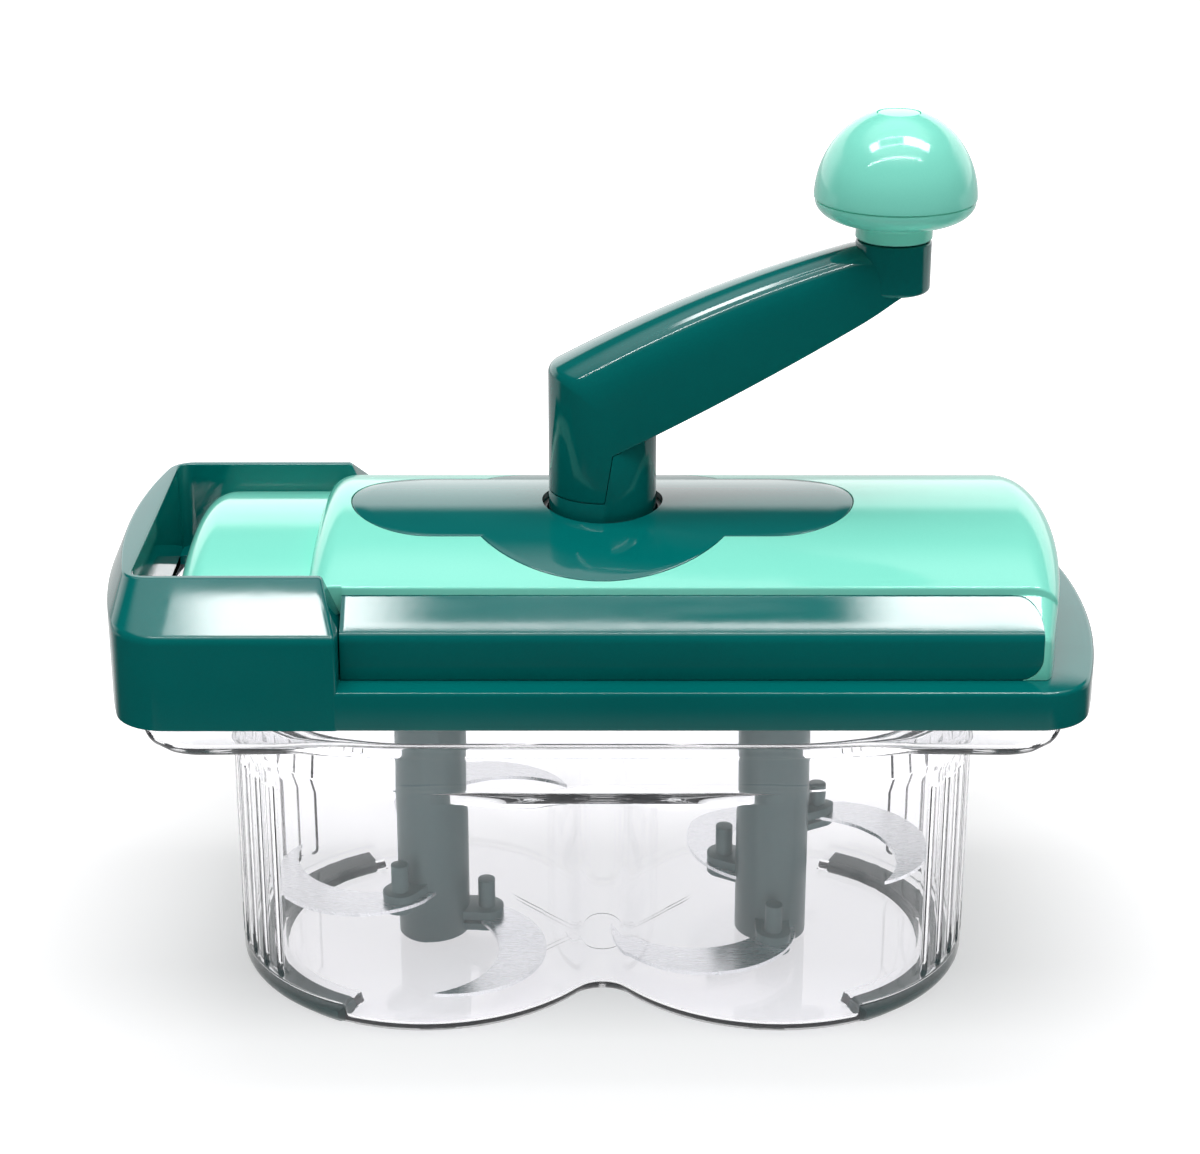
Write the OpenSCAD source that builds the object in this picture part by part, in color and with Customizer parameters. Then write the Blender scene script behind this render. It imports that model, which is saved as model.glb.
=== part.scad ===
// Hand cranked food chopper with two sets of blades.
// A clear bowl with two round lobes carries a frame, the frame carries a drive unit,
// and one crank on the drive unit turns two shafts of sickle blades through gears.
// The origin is on the table under the middle of the bowl. +X runs along the bowl,
// away from the carrying handle, and +Z is up.

/* [Bowl] */
// How far the round lobes lie inside the sides of the frame
lobe_inset = 7.8; // [6.5:0.1:9]
// Distance between the two blade shafts, as a share of the lobes' radius
shaft_share = 1.7712; // [1.72:0.0002:1.8]
// Radius of the fillet in the waist between the lobes
waist_r = 8; // [6:0.5:10]
// Wall thickness of the bowl
bowl_wall = 2.4; // [1.8:0.1:3]
// Thickness of the floor of the bowl
bowl_floor = 2.4; // [2:0.1:3.5]
// Radius of the rounded edge under the lobes
base_edge_r = 4; // [3:0.5:5]
// Height of the two lobes above the underside of the bowl
lobes_h = 69; // [62:1:76]
// Height of the oval collar above the lobes
collar_h = 14.5; // [12:0.5:18]
// Height of the thicker band at the top of the collar
collar_band_h = 10.5; // [8:0.5:11]
// How far the thicker band stands out
collar_step = 1; // [0.6:0.1:1.5]
// How far the ends of the tray round the mouth lie inside the ends of the frame
tray_inset_l = 7; // [5:0.5:9.5]
// How far the sides of the tray lie inside the sides of the frame
tray_inset_w = 4; // [3.2:0.1:4.4]
// Height of the rim of the tray
tray_h = 18; // [16:0.5:20]
// Thickness of the rim of the tray
tray_wall = 2.2; // [1.8:0.1:2.6]
// Number of grip flutes on each end
flutes = 12; // [8:1:14]
// Angle from one flute to the next
flute_pitch = 7.8; // [7:0.1:8.5]
// Radius of the cutter of a flute
flute_r = 2.2; // [1.6:0.1:2.4]
// Depth of a flute
flute_depth = 1; // [0.6:0.1:1.2]

/* [Feet] */
// Height by which the feet stand out under the bowl
foot_proud = 1; // [0.6:0.1:1.6]
// Depth of the channel that holds a foot
foot_seat = 3; // [2:0.5:4]
// Width of a foot strip
foot_w = 6; // [5:0.5:7]
// Distance from the outside of the lobe to a foot strip
foot_inset = 3.6; // [3.2:0.1:4.5]
// Angle that a foot strip covers
foot_angle = 126; // [110:1:130]

/* [Blade shafts] */
// Radius of a blade shaft
shaft_r = 10; // [9:0.25:11]
// Height of the clear boss that carries a shaft
boss_h = 1.6; // [1.2:0.1:2]
// Radius of the clear boss under a shaft
boss_r = 7; // [6:0.5:8]
// Radius of the steel pivot pin
pivot_r = 3; // [2.5:0.1:3.5]
// Length of the steel pivot pin above the boss
pivot_l = 22; // [16:1:28]
// Distance across the flats of the drive tip
tip_flats = 10; // [9:0.25:10.5]
// Length of the drive tip inside its pinion
tip_l = 12; // [10:0.5:13]

/* [Blades] */
// Height of the lowest blade above the end of the shaft
low_blade_h = 3.2; // [2.6:0.1:4]
// Height of the middle blade above the lowest one
mid_blade_rise = 11.5; // [10:0.5:16]
// Height of the top blade above the middle one
top_blade_rise = 17.5; // [15:0.5:24]
// Turn from one blade to the next one up
blade_turn = -120; // [-125:1:-115]
// Direction of the lowest blade on the left shaft
left_turn = -5; // [-20:1:20]
// Direction of the lowest blade on the right shaft
right_turn = 270; // [255:1:285]
// Thickness of a blade
blade_t = 1; // [0.8:0.1:1.2]
// Distance from the tip of a blade to the outside of its lobe
blade_gap = 9.2; // [8.5:0.1:12]
// Radius of the outer edge of a blade, as a share of its reach
outer_edge_share = 0.571; // [0.555:0.001:0.59]
// Radius of the inner edge of a blade, as a share of its reach
inner_edge_share = 0.551; // [0.54:0.001:0.565]
// Distance from a shaft's axis to a peg
peg_out = 15; // [14.5:0.25:16]
// Radius of a peg
peg_r = 2.4; // [2:0.1:2.8]
// Height of a peg above its lug
peg_h = 8; // [6:0.5:9]
// Radius of the end of a lug
lug_r = 4.8; // [4.2:0.1:5.4]
// Thickness of the pad over a blade
lug_top_t = 2.4; // [2:0.1:3]
// Thickness of the pad under a blade
lug_low_t = 2; // [1.5:0.1:2.4]

/* [Frame] */
// Length of the frame
frame_l = 263; // [260:1:268]
// Depth of the frame
frame_w = 124; // [123:0.5:128]
// Height of the frame's skirt
frame_h = 10.5; // [9:0.5:13]
// Radius of the bulging ends
end_r = 200; // [170:5:260]
// Radius of the corners
corner_r = 14; // [12:0.5:16]
// Wall thickness of the frame
frame_wall = 2.4; // [2:0.1:2.6]
// Thickness of the deck
deck_t = 2.5; // [2:0.1:3]
// Distance from the left blade shaft to the open end of the guard round the handle
guard_reach = 19; // [17:0.5:22]
// Height of the guard's rim above the deck
guard_h = 24.7; // [22:0.5:27]
// Height of the guard's slanted facet
guard_facet_h = 10.2; // [8:0.2:12]
// How far the rim leans in at the sides
guard_lean = 16.5; // [15:0.5:16.5]
// How far the rim leans in at the handle
handle_lean = 4.5; // [3:0.5:6]
// Thickness of the handle at its rim
handle_t = 6.5; // [5:0.5:7]
// Width of the finger slot beside the handle
finger_slot_w = 6.6; // [5:0.2:7]
// Width of a clip tab
clip_w = 10; // [8:1:14]
// Distance of the clip tabs from the ends of the frame
clip_inset = 43.5; // [38:0.5:50]
// How far a clip tab reaches below the skirt
clip_drop = 2; // [1:0.5:3]

/* [Drive unit] */
// Distance from the end of the unit to the end of the frame
unit_end_inset = 10.3; // [9:0.1:13]
// How far the sides of the unit lie inside the sides of the frame
unit_inset = 8; // [7:0.5:10]
// Radius of the unit's corners
unit_corner_r = 3.5; // [2.5:0.5:5]
// Distance from the end of the side bands to the end of the unit
band_end_inset = 9.2; // [8.6:0.1:12]
// Distance from the open end of the guard to the step at the tongue
step_inset = 9; // [7:0.5:13]
// Gap between the tongue and the handle
tongue_gap = 8.5; // [8:0.5:12]
// How far the tongue lies below the cover
tongue_drop = 5; // [3:0.5:7]
// Height of the straight part of the side bands
band_h = 12.1; // [10:0.5:13]
// Height of the side bands
band_top_h = 19.3; // [18:0.5:21]
// How far the lip of the cover lies inside the sides of the unit
cover_inset = 11; // [10:0.1:11.5]
// Height of the cover's lip above the side bands
lip_h = 2; // [1.5:0.1:3]
// Height of the crown above the lip
crown_h = 8.5; // [7:0.5:11]
// Radius of the cover's rounded end
cover_end_r = 14; // [10:0.5:16]
// Wall thickness of the housing
unit_wall = 2.4; // [2:0.1:2.8]
// How far the side bands stand out
band_proud = 1.2; // [0.8:0.1:1.5]
// Radius of the side bands' rounded ends
band_end_r = 6; // [4:0.5:8]
// Half the length of the inlay
inlay_half_l = 67.3; // [62:0.5:70]
// Half the width of the inlay
inlay_half_w = 22.5; // [20:0.5:25]
// Distance from the round lobes of the inlay to the lip of the cover
inlay_edge = 2; // [1.5:0.1:4]
// Distance of the inlay's lobes from the crank axis
inlay_lobe_out = 4.6; // [3:0.2:5]
// Thickness of the inlay
inlay_t = 2; // [1.6:0.1:2.4]

/* [Gears] */
// Teeth of the drive gear on the crank
gear_teeth = 46; // [46:2:50]
// Teeth of each pinion
pinion_teeth = 18; // [16:2:20]
// Thickness of the gears
gear_t = 8; // [6:0.5:9]
// Radius of a pinion's lower journal
journal_r = 8.6; // [8:0.1:9]
// Radius of a pinion's top journal
top_journal_r = 4; // [3:0.5:5]
// Thickness of the gear plate
plate_t = 2.5; // [2:0.1:3]

/* [Crank] */
// Distance from the crank axis to the knob axis
crank_r = 75.5; // [70:0.5:80]
// Radius of the crank hub
hub_r = 14.4; // [13.8:0.1:14.6]
// Height of the seam between hub and arm above the cover
seam_h = 3.6; // [3:0.2:6]
// Height of the notch in the seam above the cover
notch_h = 17; // [15:0.5:20]
// Height of the arm's top over the crank axis, above the cover
arm_top_h = 45; // [42:0.5:50]
// Height of the arched top of the arm at the hub
arch_h = 17; // [14:0.5:18]
// Height of the arched top of the arm at the post
arch_end_h = 9.5; // [8:0.5:11]
// Radius of the post under the knob
post_r = 9.9; // [9:0.1:10.5]
// Height of the post
post_h = 13.4; // [12:0.2:15]
// Wall thickness of the arm
arm_wall = 2.4; // [2:0.1:2.8]
// Thickness of the plate under the arm
underside_t = 2.2; // [1.8:0.1:2.6]
// Radius of the steel knob pin
knob_pin_r = 3.2; // [2.8:0.1:3.6]

/* [Knob] */
// Radius of the knob
knob_r = 21.1; // [19:0.1:23]
// Height of the dome
dome_h = 22.1; // [20:0.1:24]
// Height of the lower cap with its collar
knob_base_h = 10.5; // [9.5:0.1:12]
// Height of the collar
knob_collar_h = 3.6; // [3:0.1:4.5]
// Radius of the disc on top of the knob
disc_r = 5.8; // [5.2:0.1:6.5]
// Wall thickness of the knob
knob_wall = 2.4; // [2:0.1:2.8]

/* [Hidden] */
$fn = 96;

// Colours
teal = [0.02, 0.36, 0.34];
mint = [0.55, 0.94, 0.82];
clear = [0.92, 0.94, 0.97, 0.35];
steel = [0.75, 0.76, 0.78];
shaft_teal = [0.16, 0.36, 0.36];
rubber = [0.02, 0.22, 0.21];
gear_white = [0.93, 0.93, 0.90];
black = [0.03, 0.03, 0.03];

// Clearances: running fits, pieces pushed into each other, seams and lift-off gaps
run_gap = 0.06;
push_gap = 0.05;
seam_gap = 0.15;
free_gap = 0.35;
// One overrun for every cut
over = 1;
// Thickness of the slices that the facets are drawn between
slice = 0.01;
// Steps of the arcs in the outlines
arc_steps = 8;

// Half the length and depth of the frame, and what follows from them
frame_hl = frame_l / 2;
frame_hw = frame_w / 2;
lobe_r = frame_hw - lobe_inset;
shaft_gap = shaft_share * lobe_r;
half_gap = shaft_gap / 2;
tray_half_l = frame_hl - tray_inset_l;
tray_half_w = frame_hw - tray_inset_w;
blade_reach = lobe_r - blade_gap;
blade_outer_r = outer_edge_share * blade_reach;
blade_inner_r = inner_edge_share * blade_reach;

// Levels of the bowl
bowl_z = foot_proud;
floor_top = bowl_z + bowl_floor;
lobes_top = bowl_z + lobes_h;
tray_z = lobes_top + collar_h;
tray_top = tray_z + tray_h;
waist_y = sqrt(pow(lobe_r + waist_r, 2) - pow(half_gap, 2));
boss_top = floor_top + boss_h;
shaft_z = boss_top + push_gap;

// Levels of the frame
deck_z = tray_top + deck_t;
skirt_z = deck_z - frame_h;
rim_z = deck_z + guard_h;
shoulder_z = rim_z - guard_facet_h;
guard_x = -half_gap - guard_reach;
clip_x = frame_hl - clip_inset;
guard_hw = frame_hw - guard_lean;
rim_t = 2.1;
inner_hw = guard_hw - rim_t;
handle_x = frame_hl - handle_lean - handle_t;
unit_end = frame_hl - unit_end_inset;
unit_half_w = frame_hw - unit_inset;
band_out = unit_end - band_end_inset;
step_out = step_inset - guard_x;
tongue_out = handle_x - tongue_gap;
cover_half_w = unit_half_w - cover_inset;
inlay_lobe_r = cover_half_w - inlay_edge - inlay_lobe_out;
opening_side = 8;
opening_left = 6;
opening_right = 12;
opening_hw = unit_half_w - opening_side;
opening_l0 = guard_x + opening_left;
opening_l1 = unit_end - opening_right;

// Levels of the drive unit
unit_z = deck_z;
band_z = unit_z + band_h;
lip_z = unit_z + band_top_h;
crown_z = lip_z + lip_h;
apex_z = crown_z + crown_h;
crown_r = (pow(cover_half_w, 2) + pow(crown_h, 2)) / (2 * crown_h);
tongue_hw = inner_hw - free_gap;
unit_x0 = guard_x + free_gap;
base_floor_t = 2.4;
floor_z = unit_z + base_floor_t;
spigot_h = 3;
spigot_z = unit_z - spigot_h;

// Gears
mod = shaft_gap / (gear_teeth + pinion_teeth);
pressure = 20;
backlash = 0.12;
gear_z = floor_z + 4.6;
gear_top = gear_z + gear_t;
plate_z = gear_top + 1.3;
plate_top = plate_z + plate_t;
socket_flats = tip_flats + 2 * seam_gap;
journal_z = spigot_z + 1.5;
shaft_top = spigot_z - over;
tip_top = journal_z + tip_l;
socket_top = tip_top + over;

// Crank
crank_journal_r = 5;
crank_mid_r = 7;
crank_flats = 12;
crank_flange_r = 8;
crank_flange_t = 2;
crank_journal_z = spigot_z + 3;
crank_hex_top = apex_z + 15;
hub_z = apex_z - 6.5;
seam_z = apex_z + seam_h;
notch_z = apex_z + notch_h;
arm_top_z = apex_z + arm_top_h;
hub_core_r = hub_r - arm_wall - seam_gap;
hub_core_top = crank_hex_top + 12;
hub_hole_r = hub_r + 1.8;
crank_screw_r = 1.6;
crank_screw_head_r = 3.2;
crank_screw_head_t = 2.4;
notch_x = 2.6;
seam_x = 0.5;
// Rise of the arm: its top and its underside are parabolas in the distance from the axis,
// and the top stays level inside the post
arm_rise_share = 0.50;
arm_sag_share = -0.13;
under_rise_share = 0.47;
under_sag_share = 0.07;
function arm_top(x) = let (u = min(x, crank_r - post_r))
    arm_top_z + arm_rise_share * u + arm_sag_share * u * u / crank_r;
function arm_under(x) = notch_z - 0.1 * seam_h + under_rise_share * (x - notch_x)
    + under_sag_share * x * x / crank_r;
post_top = arm_top(crank_r - post_r) + 0.08 * post_h;
post_z = post_top - post_h;
arm_end_w = 0.9 * post_r;
function arm_half_w(x) = hub_r + (arm_end_w - hub_r) * x / crank_r;
function arm_chord(x) = x < 0 ? sqrt(hub_r * hub_r - x * x) : arm_half_w(x);
function arm_low(x) = x < seam_x + slice ? seam_z : arm_under(x);
function arch(x) = arch_h + (arch_end_h - arch_h) * x / crank_r;

// Knob
knob_gap = 0.5;
knob_z = post_top + knob_gap;
knob_seam_z = knob_z + knob_base_h;
knob_top = knob_seam_z + dome_h;
knob_collar_r = post_r + 0.1;
knob_pin_z = post_z + 2;
knob_pin_top = knob_seam_z + 0.4 * dome_h;
knob_screw_head_r = 4.2;
knob_screw_head_t = 2.2;
knob_screw_r = 1.5;
disc_t = 1.4;

// Screws
screw_r = 1.5;
screw_head_r = 3;
screw_head_t = 2;
post_wall = 2;
screw_post_r = screw_r + post_wall;
housing_posts = [
    [-(step_out + tongue_out) / 2, 0],
    [-0.763 * step_out, -0.65 * unit_half_w], [-0.763 * step_out, 0.65 * unit_half_w],
    [0.83 * unit_end, -0.65 * unit_half_w], [0.83 * unit_end, 0.65 * unit_half_w]
];
plate_posts = [
    for (sx = [-1, 1]) for (sy = [-1, 1]) [sx * 0.83 * half_gap, sy * 0.52 * half_gap]
];
plate_hl = 1.3 * half_gap;
plate_hw = 0.62 * half_gap;
post_joint_z = floor_z + 5.6;

// Outline with straight long sides, bulging ends and round corners
function plan_points(hl, hw, er, cr) =
    let (
        cx = hl - er,
        yc = hw - cr,
        xc = cx + sqrt(pow(er - cr, 2) - yc * yc),
        a = atan2(yc, xc - cx)
    )
    concat(
        [for (i = [0 : arc_steps]) let (t = -a + 2 * a * i / arc_steps)
            [cx + er * cos(t), er * sin(t)]],
        [for (i = [1 : arc_steps]) let (t = a + (90 - a) * i / arc_steps)
            [xc + cr * cos(t), yc + cr * sin(t)]],
        [for (i = [0 : arc_steps - 1]) let (t = 90 + (90 - a) * i / arc_steps)
            [-xc + cr * cos(t), yc + cr * sin(t)]],
        [for (i = [0 : arc_steps]) let (t = 180 - a + 2 * a * i / arc_steps)
            [-cx + er * cos(t), er * sin(t)]],
        [for (i = [1 : arc_steps]) let (t = 180 + a + (90 - a) * i / arc_steps)
            [-xc + cr * cos(t), -yc + cr * sin(t)]],
        [for (i = [0 : arc_steps - 1]) let (t = 270 + (90 - a) * i / arc_steps)
            [xc + cr * cos(t), -yc + cr * sin(t)]]
    );

// Points of an arc about c from angle a to angle b
function arc(c, r, a, b) = [
    for (i = [0 : arc_steps]) let (t = a + (b - a) * i / arc_steps)
        c + r * [cos(t), sin(t)]
];

module plan(hl, hw, er, cr) {
    polygon(plan_points(hl, hw, er, cr));
}

module slab(z, h) {
    translate([0, 0, z]) linear_extrude(h) children();
}

// Outline in the XZ plane, carried from y = -hw to y = hw
module along_y(hw) {
    translate([0, hw, 0]) rotate([90, 0, 0]) linear_extrude(2 * hw) children();
}

// Outline in the YZ plane, carried from x0 to x1
module along_x(x0, x1) {
    translate([x0, 0, 0]) rotate([90, 0, 90]) linear_extrude(x1 - x0) children();
}

module hexagon(flats) {
    rotate(30) circle(r = flats / sqrt(3), $fn = 6);
}

module at_shaft(side) {
    translate([side * half_gap, 0, 0]) children();
}

// Outline of the two lobes, drawn in by t, with the waist fillets
module lobes(t) {
    share = (lobe_r) / (lobe_r + waist_r);
    tx = half_gap * (1 - share);
    ty = waist_y * share;
    for (s = [-1, 1]) translate([s * half_gap, 0]) circle(lobe_r - t);
    difference() {
        polygon([[-tx, -ty], [tx, -ty], [tx, ty], [-tx, ty]]);
        for (s = [-1, 1]) translate([0, s * waist_y]) circle(waist_r + t);
    }
}

// Oval round both lobes
module oval(r) {
    for (s = [-1, 1]) translate([s * half_gap, 0]) circle(r);
    square([shaft_gap, 2 * r], center = true);
}

// Sector of a ring about a shaft, opening away from the middle
module foot_sector(side, r0, r1, angle) {
    reach = 2 * r1;
    translate([side * half_gap, 0]) scale([side, 1]) intersection() {
        difference() {
            circle(r1);
            circle(r0);
        }
        polygon([
            [0, 0],
            [reach * cos(angle / 2), -reach * sin(angle / 2)], [reach, -reach],
            [reach, reach], [reach * cos(angle / 2), reach * sin(angle / 2)]
        ]);
    }
}

module bowl() {
    foot_out = lobe_r - foot_inset;
    foot_in = foot_out - foot_w;
    channel_top = bowl_z + foot_seat + bowl_wall;
    color(clear) difference() {
        union() {
            slab(bowl_z + base_edge_r, lobes_h - base_edge_r) lobes(0);
            slab(bowl_z, base_edge_r) lobes(base_edge_r / 2);
            for (s = [-1, 1]) at_shaft(s) translate([0, 0, bowl_z]) rotate_extrude()
                polygon(concat(
                    [[0, 0]],
                    arc([lobe_r - base_edge_r, base_edge_r], base_edge_r, -90, 0),
                    [[0, base_edge_r]]
                ));
            slab(lobes_top, collar_h) oval(lobe_r);
            slab(tray_z - collar_band_h, collar_band_h) oval(lobe_r + collar_step);
            slab(tray_z, tray_h) plan(tray_half_l, tray_half_w, end_r, corner_r);
        }
        difference() {
            slab(floor_top, lobes_h + over) lobes(bowl_wall);
            for (s = [-1, 1])
                slab(bowl_z, channel_top - bowl_z)
                    foot_sector(s, foot_in - bowl_wall, lobe_r, foot_angle + 6);
            for (s = [-1, 1]) at_shaft(s)
                translate([0, 0, bowl_z]) cylinder(r = boss_r, h = boss_top - bowl_z);
        }
        slab(lobes_top + bowl_wall, collar_h + tray_h) oval(lobe_r - bowl_wall);
        slab(tray_z + bowl_wall, tray_h)
            plan(tray_half_l - tray_wall, tray_half_w - tray_wall,
                end_r - tray_wall, corner_r - tray_wall);
        for (s = [-1, 1]) {
            slab(bowl_z - over, foot_seat + over)
                foot_sector(s, foot_in - push_gap, foot_out + push_gap, foot_angle + 1);
            at_shaft(s) translate([0, 0, floor_top - bowl_floor / 2])
                cylinder(r = pivot_r + push_gap, h = bowl_floor + boss_h);
            at_shaft(s) for (i = [0 : flutes - 1])
                rotate([0, 0, (i - (flutes - 1) / 2) * flute_pitch + (s < 0 ? 180 : 0)])
                    translate([lobe_r + flute_r - flute_depth, 0, bowl_z + 2 * base_edge_r])
                        cylinder(r = flute_r, h = lobes_h - 2.5 * base_edge_r, $fn = 24);
        }
    }
}

module foot(side) {
    foot_out = lobe_r - foot_inset;
    color(rubber) slab(0, foot_proud + foot_seat)
        foot_sector(side, foot_out - foot_w, foot_out, foot_angle);
}

module foot_left() { foot(-1); }
module foot_right() { foot(1); }

// Pin in the boss of the bowl, on which a blade shaft turns
module pivot_pin(side) {
    z0 = floor_top - bowl_floor / 2;
    color(steel) at_shaft(side) translate([0, 0, z0]) {
        cylinder(r = pivot_r, h = boss_top + pivot_l - z0);
    }
}

module pivot_pin_left() { pivot_pin(-1); }
module pivot_pin_right() { pivot_pin(1); }

function blade_z(i) = shaft_z + low_blade_h
    + (i > 0 ? mid_blade_rise : 0) + (i > 1 ? top_blade_rise : 0);

// Tapered bar of a lug, from the shaft to round the peg
module lug_outline() {
    translate([peg_out, 0]) circle(lug_r);
    translate([0, -lug_r]) square([peg_out, 2 * lug_r]);
}

module blade_shaft(side, turn) {
    slot = blade_t + 2 * push_gap;
    color(shaft_teal) at_shaft(side) difference() {
        union() {
            translate([0, 0, shaft_z]) cylinder(r = shaft_r, h = shaft_top - shaft_z);
            slab(shaft_top - over, tip_top - shaft_top + over) hexagon(tip_flats);
            for (i = [0 : 2]) rotate([0, 0, turn + i * blade_turn]) {
                slab(blade_z(i) - lug_low_t, lug_low_t) lug_outline();
                slab(blade_z(i) + slot, lug_top_t) lug_outline();
                translate([peg_out, 0, blade_z(i) - lug_low_t])
                    cylinder(r = peg_r, h = lug_low_t + slot + lug_top_t + peg_h);
            }
        }
        translate([0, 0, shaft_z - over])
            cylinder(r = pivot_r + run_gap, h = pivot_l + 2 * over);
    }
}

module blade_shaft_left() { blade_shaft(-1, left_turn); }
module blade_shaft_right() { blade_shaft(1, right_turn); }

// Sickle between two arcs that meet at the tip, drawn for a peg on the X axis
module sickle() {
    outer_c = [0.178, -0.422] * blade_reach;
    tip = outer_c + blade_outer_r * [cos(266), sin(266)];
    inner_c = tip + blade_inner_r * [cos(114), sin(114)];
    difference() {
        translate(outer_c) circle(blade_outer_r);
        translate(inner_c) circle(blade_inner_r);
        circle(shaft_r + push_gap);
        translate([peg_out, 0]) circle(peg_r + push_gap);
        translate([-blade_reach, -blade_reach / 2]) square([blade_reach, 2 * blade_reach]);
    }
}

module blade(side, turn, i) {
    color(steel) at_shaft(side) rotate([0, 0, turn + i * blade_turn])
        slab(blade_z(i) + push_gap, blade_t) sickle();
}

module blade_left_low() { blade(-1, left_turn, 0); }
module blade_left_mid() { blade(-1, left_turn, 1); }
module blade_left_top() { blade(-1, left_turn, 2); }
module blade_right_low() { blade(1, right_turn, 0); }
module blade_right_mid() { blade(1, right_turn, 1); }
module blade_right_top() { blade(1, right_turn, 2); }

// Tabs inside the rim of the tray. Those under the guard run up inside it as ribs.
module clip_tabs() {
    y = tray_half_w - tray_wall - free_gap - frame_wall / 2;
    z0 = skirt_z - clip_drop;
    for (sx = [-1, 1]) for (sy = [-1, 1])
        translate([sx * clip_x - clip_w / 2, sy * y - frame_wall / 2, z0])
            cube([clip_w, frame_wall, (sx < 0 ? shoulder_z - frame_wall : tray_top) + over - z0]);
}

module frame() {
    reach = 2 * frame_hl;
    color(teal) difference() {
        union() {
            slab(skirt_z, frame_h) plan(frame_hl, frame_hw, end_r, corner_r);
            intersection() {
                union() {
                    slab(skirt_z, shoulder_z - skirt_z)
                        plan(frame_hl, frame_hw, end_r, corner_r);
                    hull() {
                        slab(shoulder_z - slice, slice)
                            plan(frame_hl, frame_hw, end_r, corner_r);
                        slab(rim_z - slice, slice)
                            plan(frame_hl - handle_lean, guard_hw, end_r, corner_r / 2);
                    }
                }
                along_y(frame_w) polygon([
                    [-reach, 0], [guard_x, 0], [guard_x, shoulder_z],
                    [guard_x - handle_lean, rim_z + over], [-reach, rim_z + over]
                ]);
            }
            clip_tabs();
        }
        // Room inside the skirt for the tray of the bowl
        difference() {
            slab(skirt_z - over, tray_top - skirt_z + over)
                plan(frame_hl - frame_wall, frame_hw - frame_wall,
                    end_r - frame_wall, corner_r - frame_wall);
            clip_tabs();
        }
        // Hollow sides of the guard, open from below
        difference() {
            slab(tray_top - over, shoulder_z - frame_wall - tray_top + over)
                intersection() {
                    plan(frame_hl - frame_wall, frame_hw - frame_wall,
                        end_r - frame_wall, corner_r - frame_wall);
                    translate([-reach, -frame_w])
                        square([reach + guard_x - frame_wall, 2 * frame_w]);
                }
            slab(0, 2 * rim_z) translate([-handle_x - frame_wall, -inner_hw - frame_wall])
                square([reach, 2 * (inner_hw + frame_wall)]);
            clip_tabs();
        }
        // Bay for the drive unit
        slab(deck_z, guard_h + over) translate([-handle_x, -inner_hw])
            square([reach, 2 * inner_hw]);
        // Opening for the spigot of the drive unit
        slab(deck_z - 2 * deck_t, 3 * deck_t)
            translate([(opening_l0 + opening_l1) / 2, 0])
                plan((opening_l1 - opening_l0) / 2, opening_hw, end_r, corner_r);
        // Finger slot beside the handle
        slab(deck_z - 2 * deck_t, 3 * deck_t) translate([-handle_x, -0.8 * inner_hw])
            square([finger_slot_w, 1.6 * inner_hw]);
    }
}

// Section of the drive unit across its length, drawn in by t
module unit_section(t) {
    top = apex_z + over;
    intersection() {
        polygon([
            [-unit_half_w + t, unit_z - over], [-unit_half_w + t, band_z - t / 2],
            [-cover_half_w + t / 2, lip_z - t], [-cover_half_w + t, crown_z - t],
            [-cover_half_w + t, top], [cover_half_w - t, top],
            [cover_half_w - t, crown_z - t], [cover_half_w - t / 2, lip_z - t],
            [unit_half_w - t, band_z - t / 2], [unit_half_w - t, unit_z - over]
        ]);
        translate([0, apex_z - crown_r]) circle(crown_r - t, $fn = 180);
    }
}

// Side outline of the drive unit with its rounded ends, drawn in by t
module unit_side(t) {
    r = cover_end_r;
    lr = cover_end_r / 2;
    polygon(concat(
        [[-step_out + t, unit_z - over]],
        arc([-step_out + lr, apex_z - lr], lr - t, 180, 90),
        arc([unit_end - r, apex_z - r], r - t, 90, 0),
        [[unit_end - t, unit_z - over]]
    ));
}

// Plan of the drive unit without the tongue, drawn in by t
module unit_plan(t) {
    intersection() {
        plan(unit_end - t, unit_half_w - t, end_r - t, max(unit_corner_r - t, slice));
        translate([unit_x0 + t, -unit_half_w]) square([2 * unit_end, 2 * unit_half_w]);
    }
    translate([-step_out + t, -tongue_hw + t])
        square([step_out + unit_x0 + 2 * t, 2 * (tongue_hw - t)]);
}

module unit_solid(t) {
    intersection() {
        slab(unit_z - over, apex_z - unit_z + 2 * over) unit_plan(t);
        along_x(-step_out - over, unit_end + over) unit_section(t);
        along_y(unit_half_w) unit_side(t);
    }
}

// Tongue at the handle end of the cover, drawn in by t
module tongue_solid(t) {
    r = cover_end_r * 0.7;
    top = apex_z - tongue_drop;
    slope = 0.18 * r;
    x1 = -step_out + (t > 0 ? 2 : 1) * unit_wall;
    intersection() {
        along_y(tongue_hw - t) polygon(concat(
            [[-tongue_out + t, unit_z - over], [-tongue_out + t, unit_z + band_h]],
            arc([-tongue_out + r + slope, top - r], r - t, 170, 90),
            [[x1, top - t], [x1, unit_z - over]]
        ));
        along_x(-tongue_out - over, over + x1) intersection() {
            translate([0, top - crown_r]) circle(crown_r - t, $fn = 180);
            translate([-tongue_hw, unit_z - over])
                square([2 * tongue_hw, apex_z - unit_z + over]);
        }
    }
}

// Outline of the side bands in the XZ plane, with rounded ends
module band_side() {
    r = band_end_r;
    x1 = band_out - seam_gap;
    polygon(concat(
        [[unit_x0, unit_z]],
        arc([x1 - r, unit_z + r], r, -90, 0),
        arc([x1 - r, lip_z - r], r, 0, 90),
        [[unit_x0, lip_z]]
    ));
}

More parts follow.
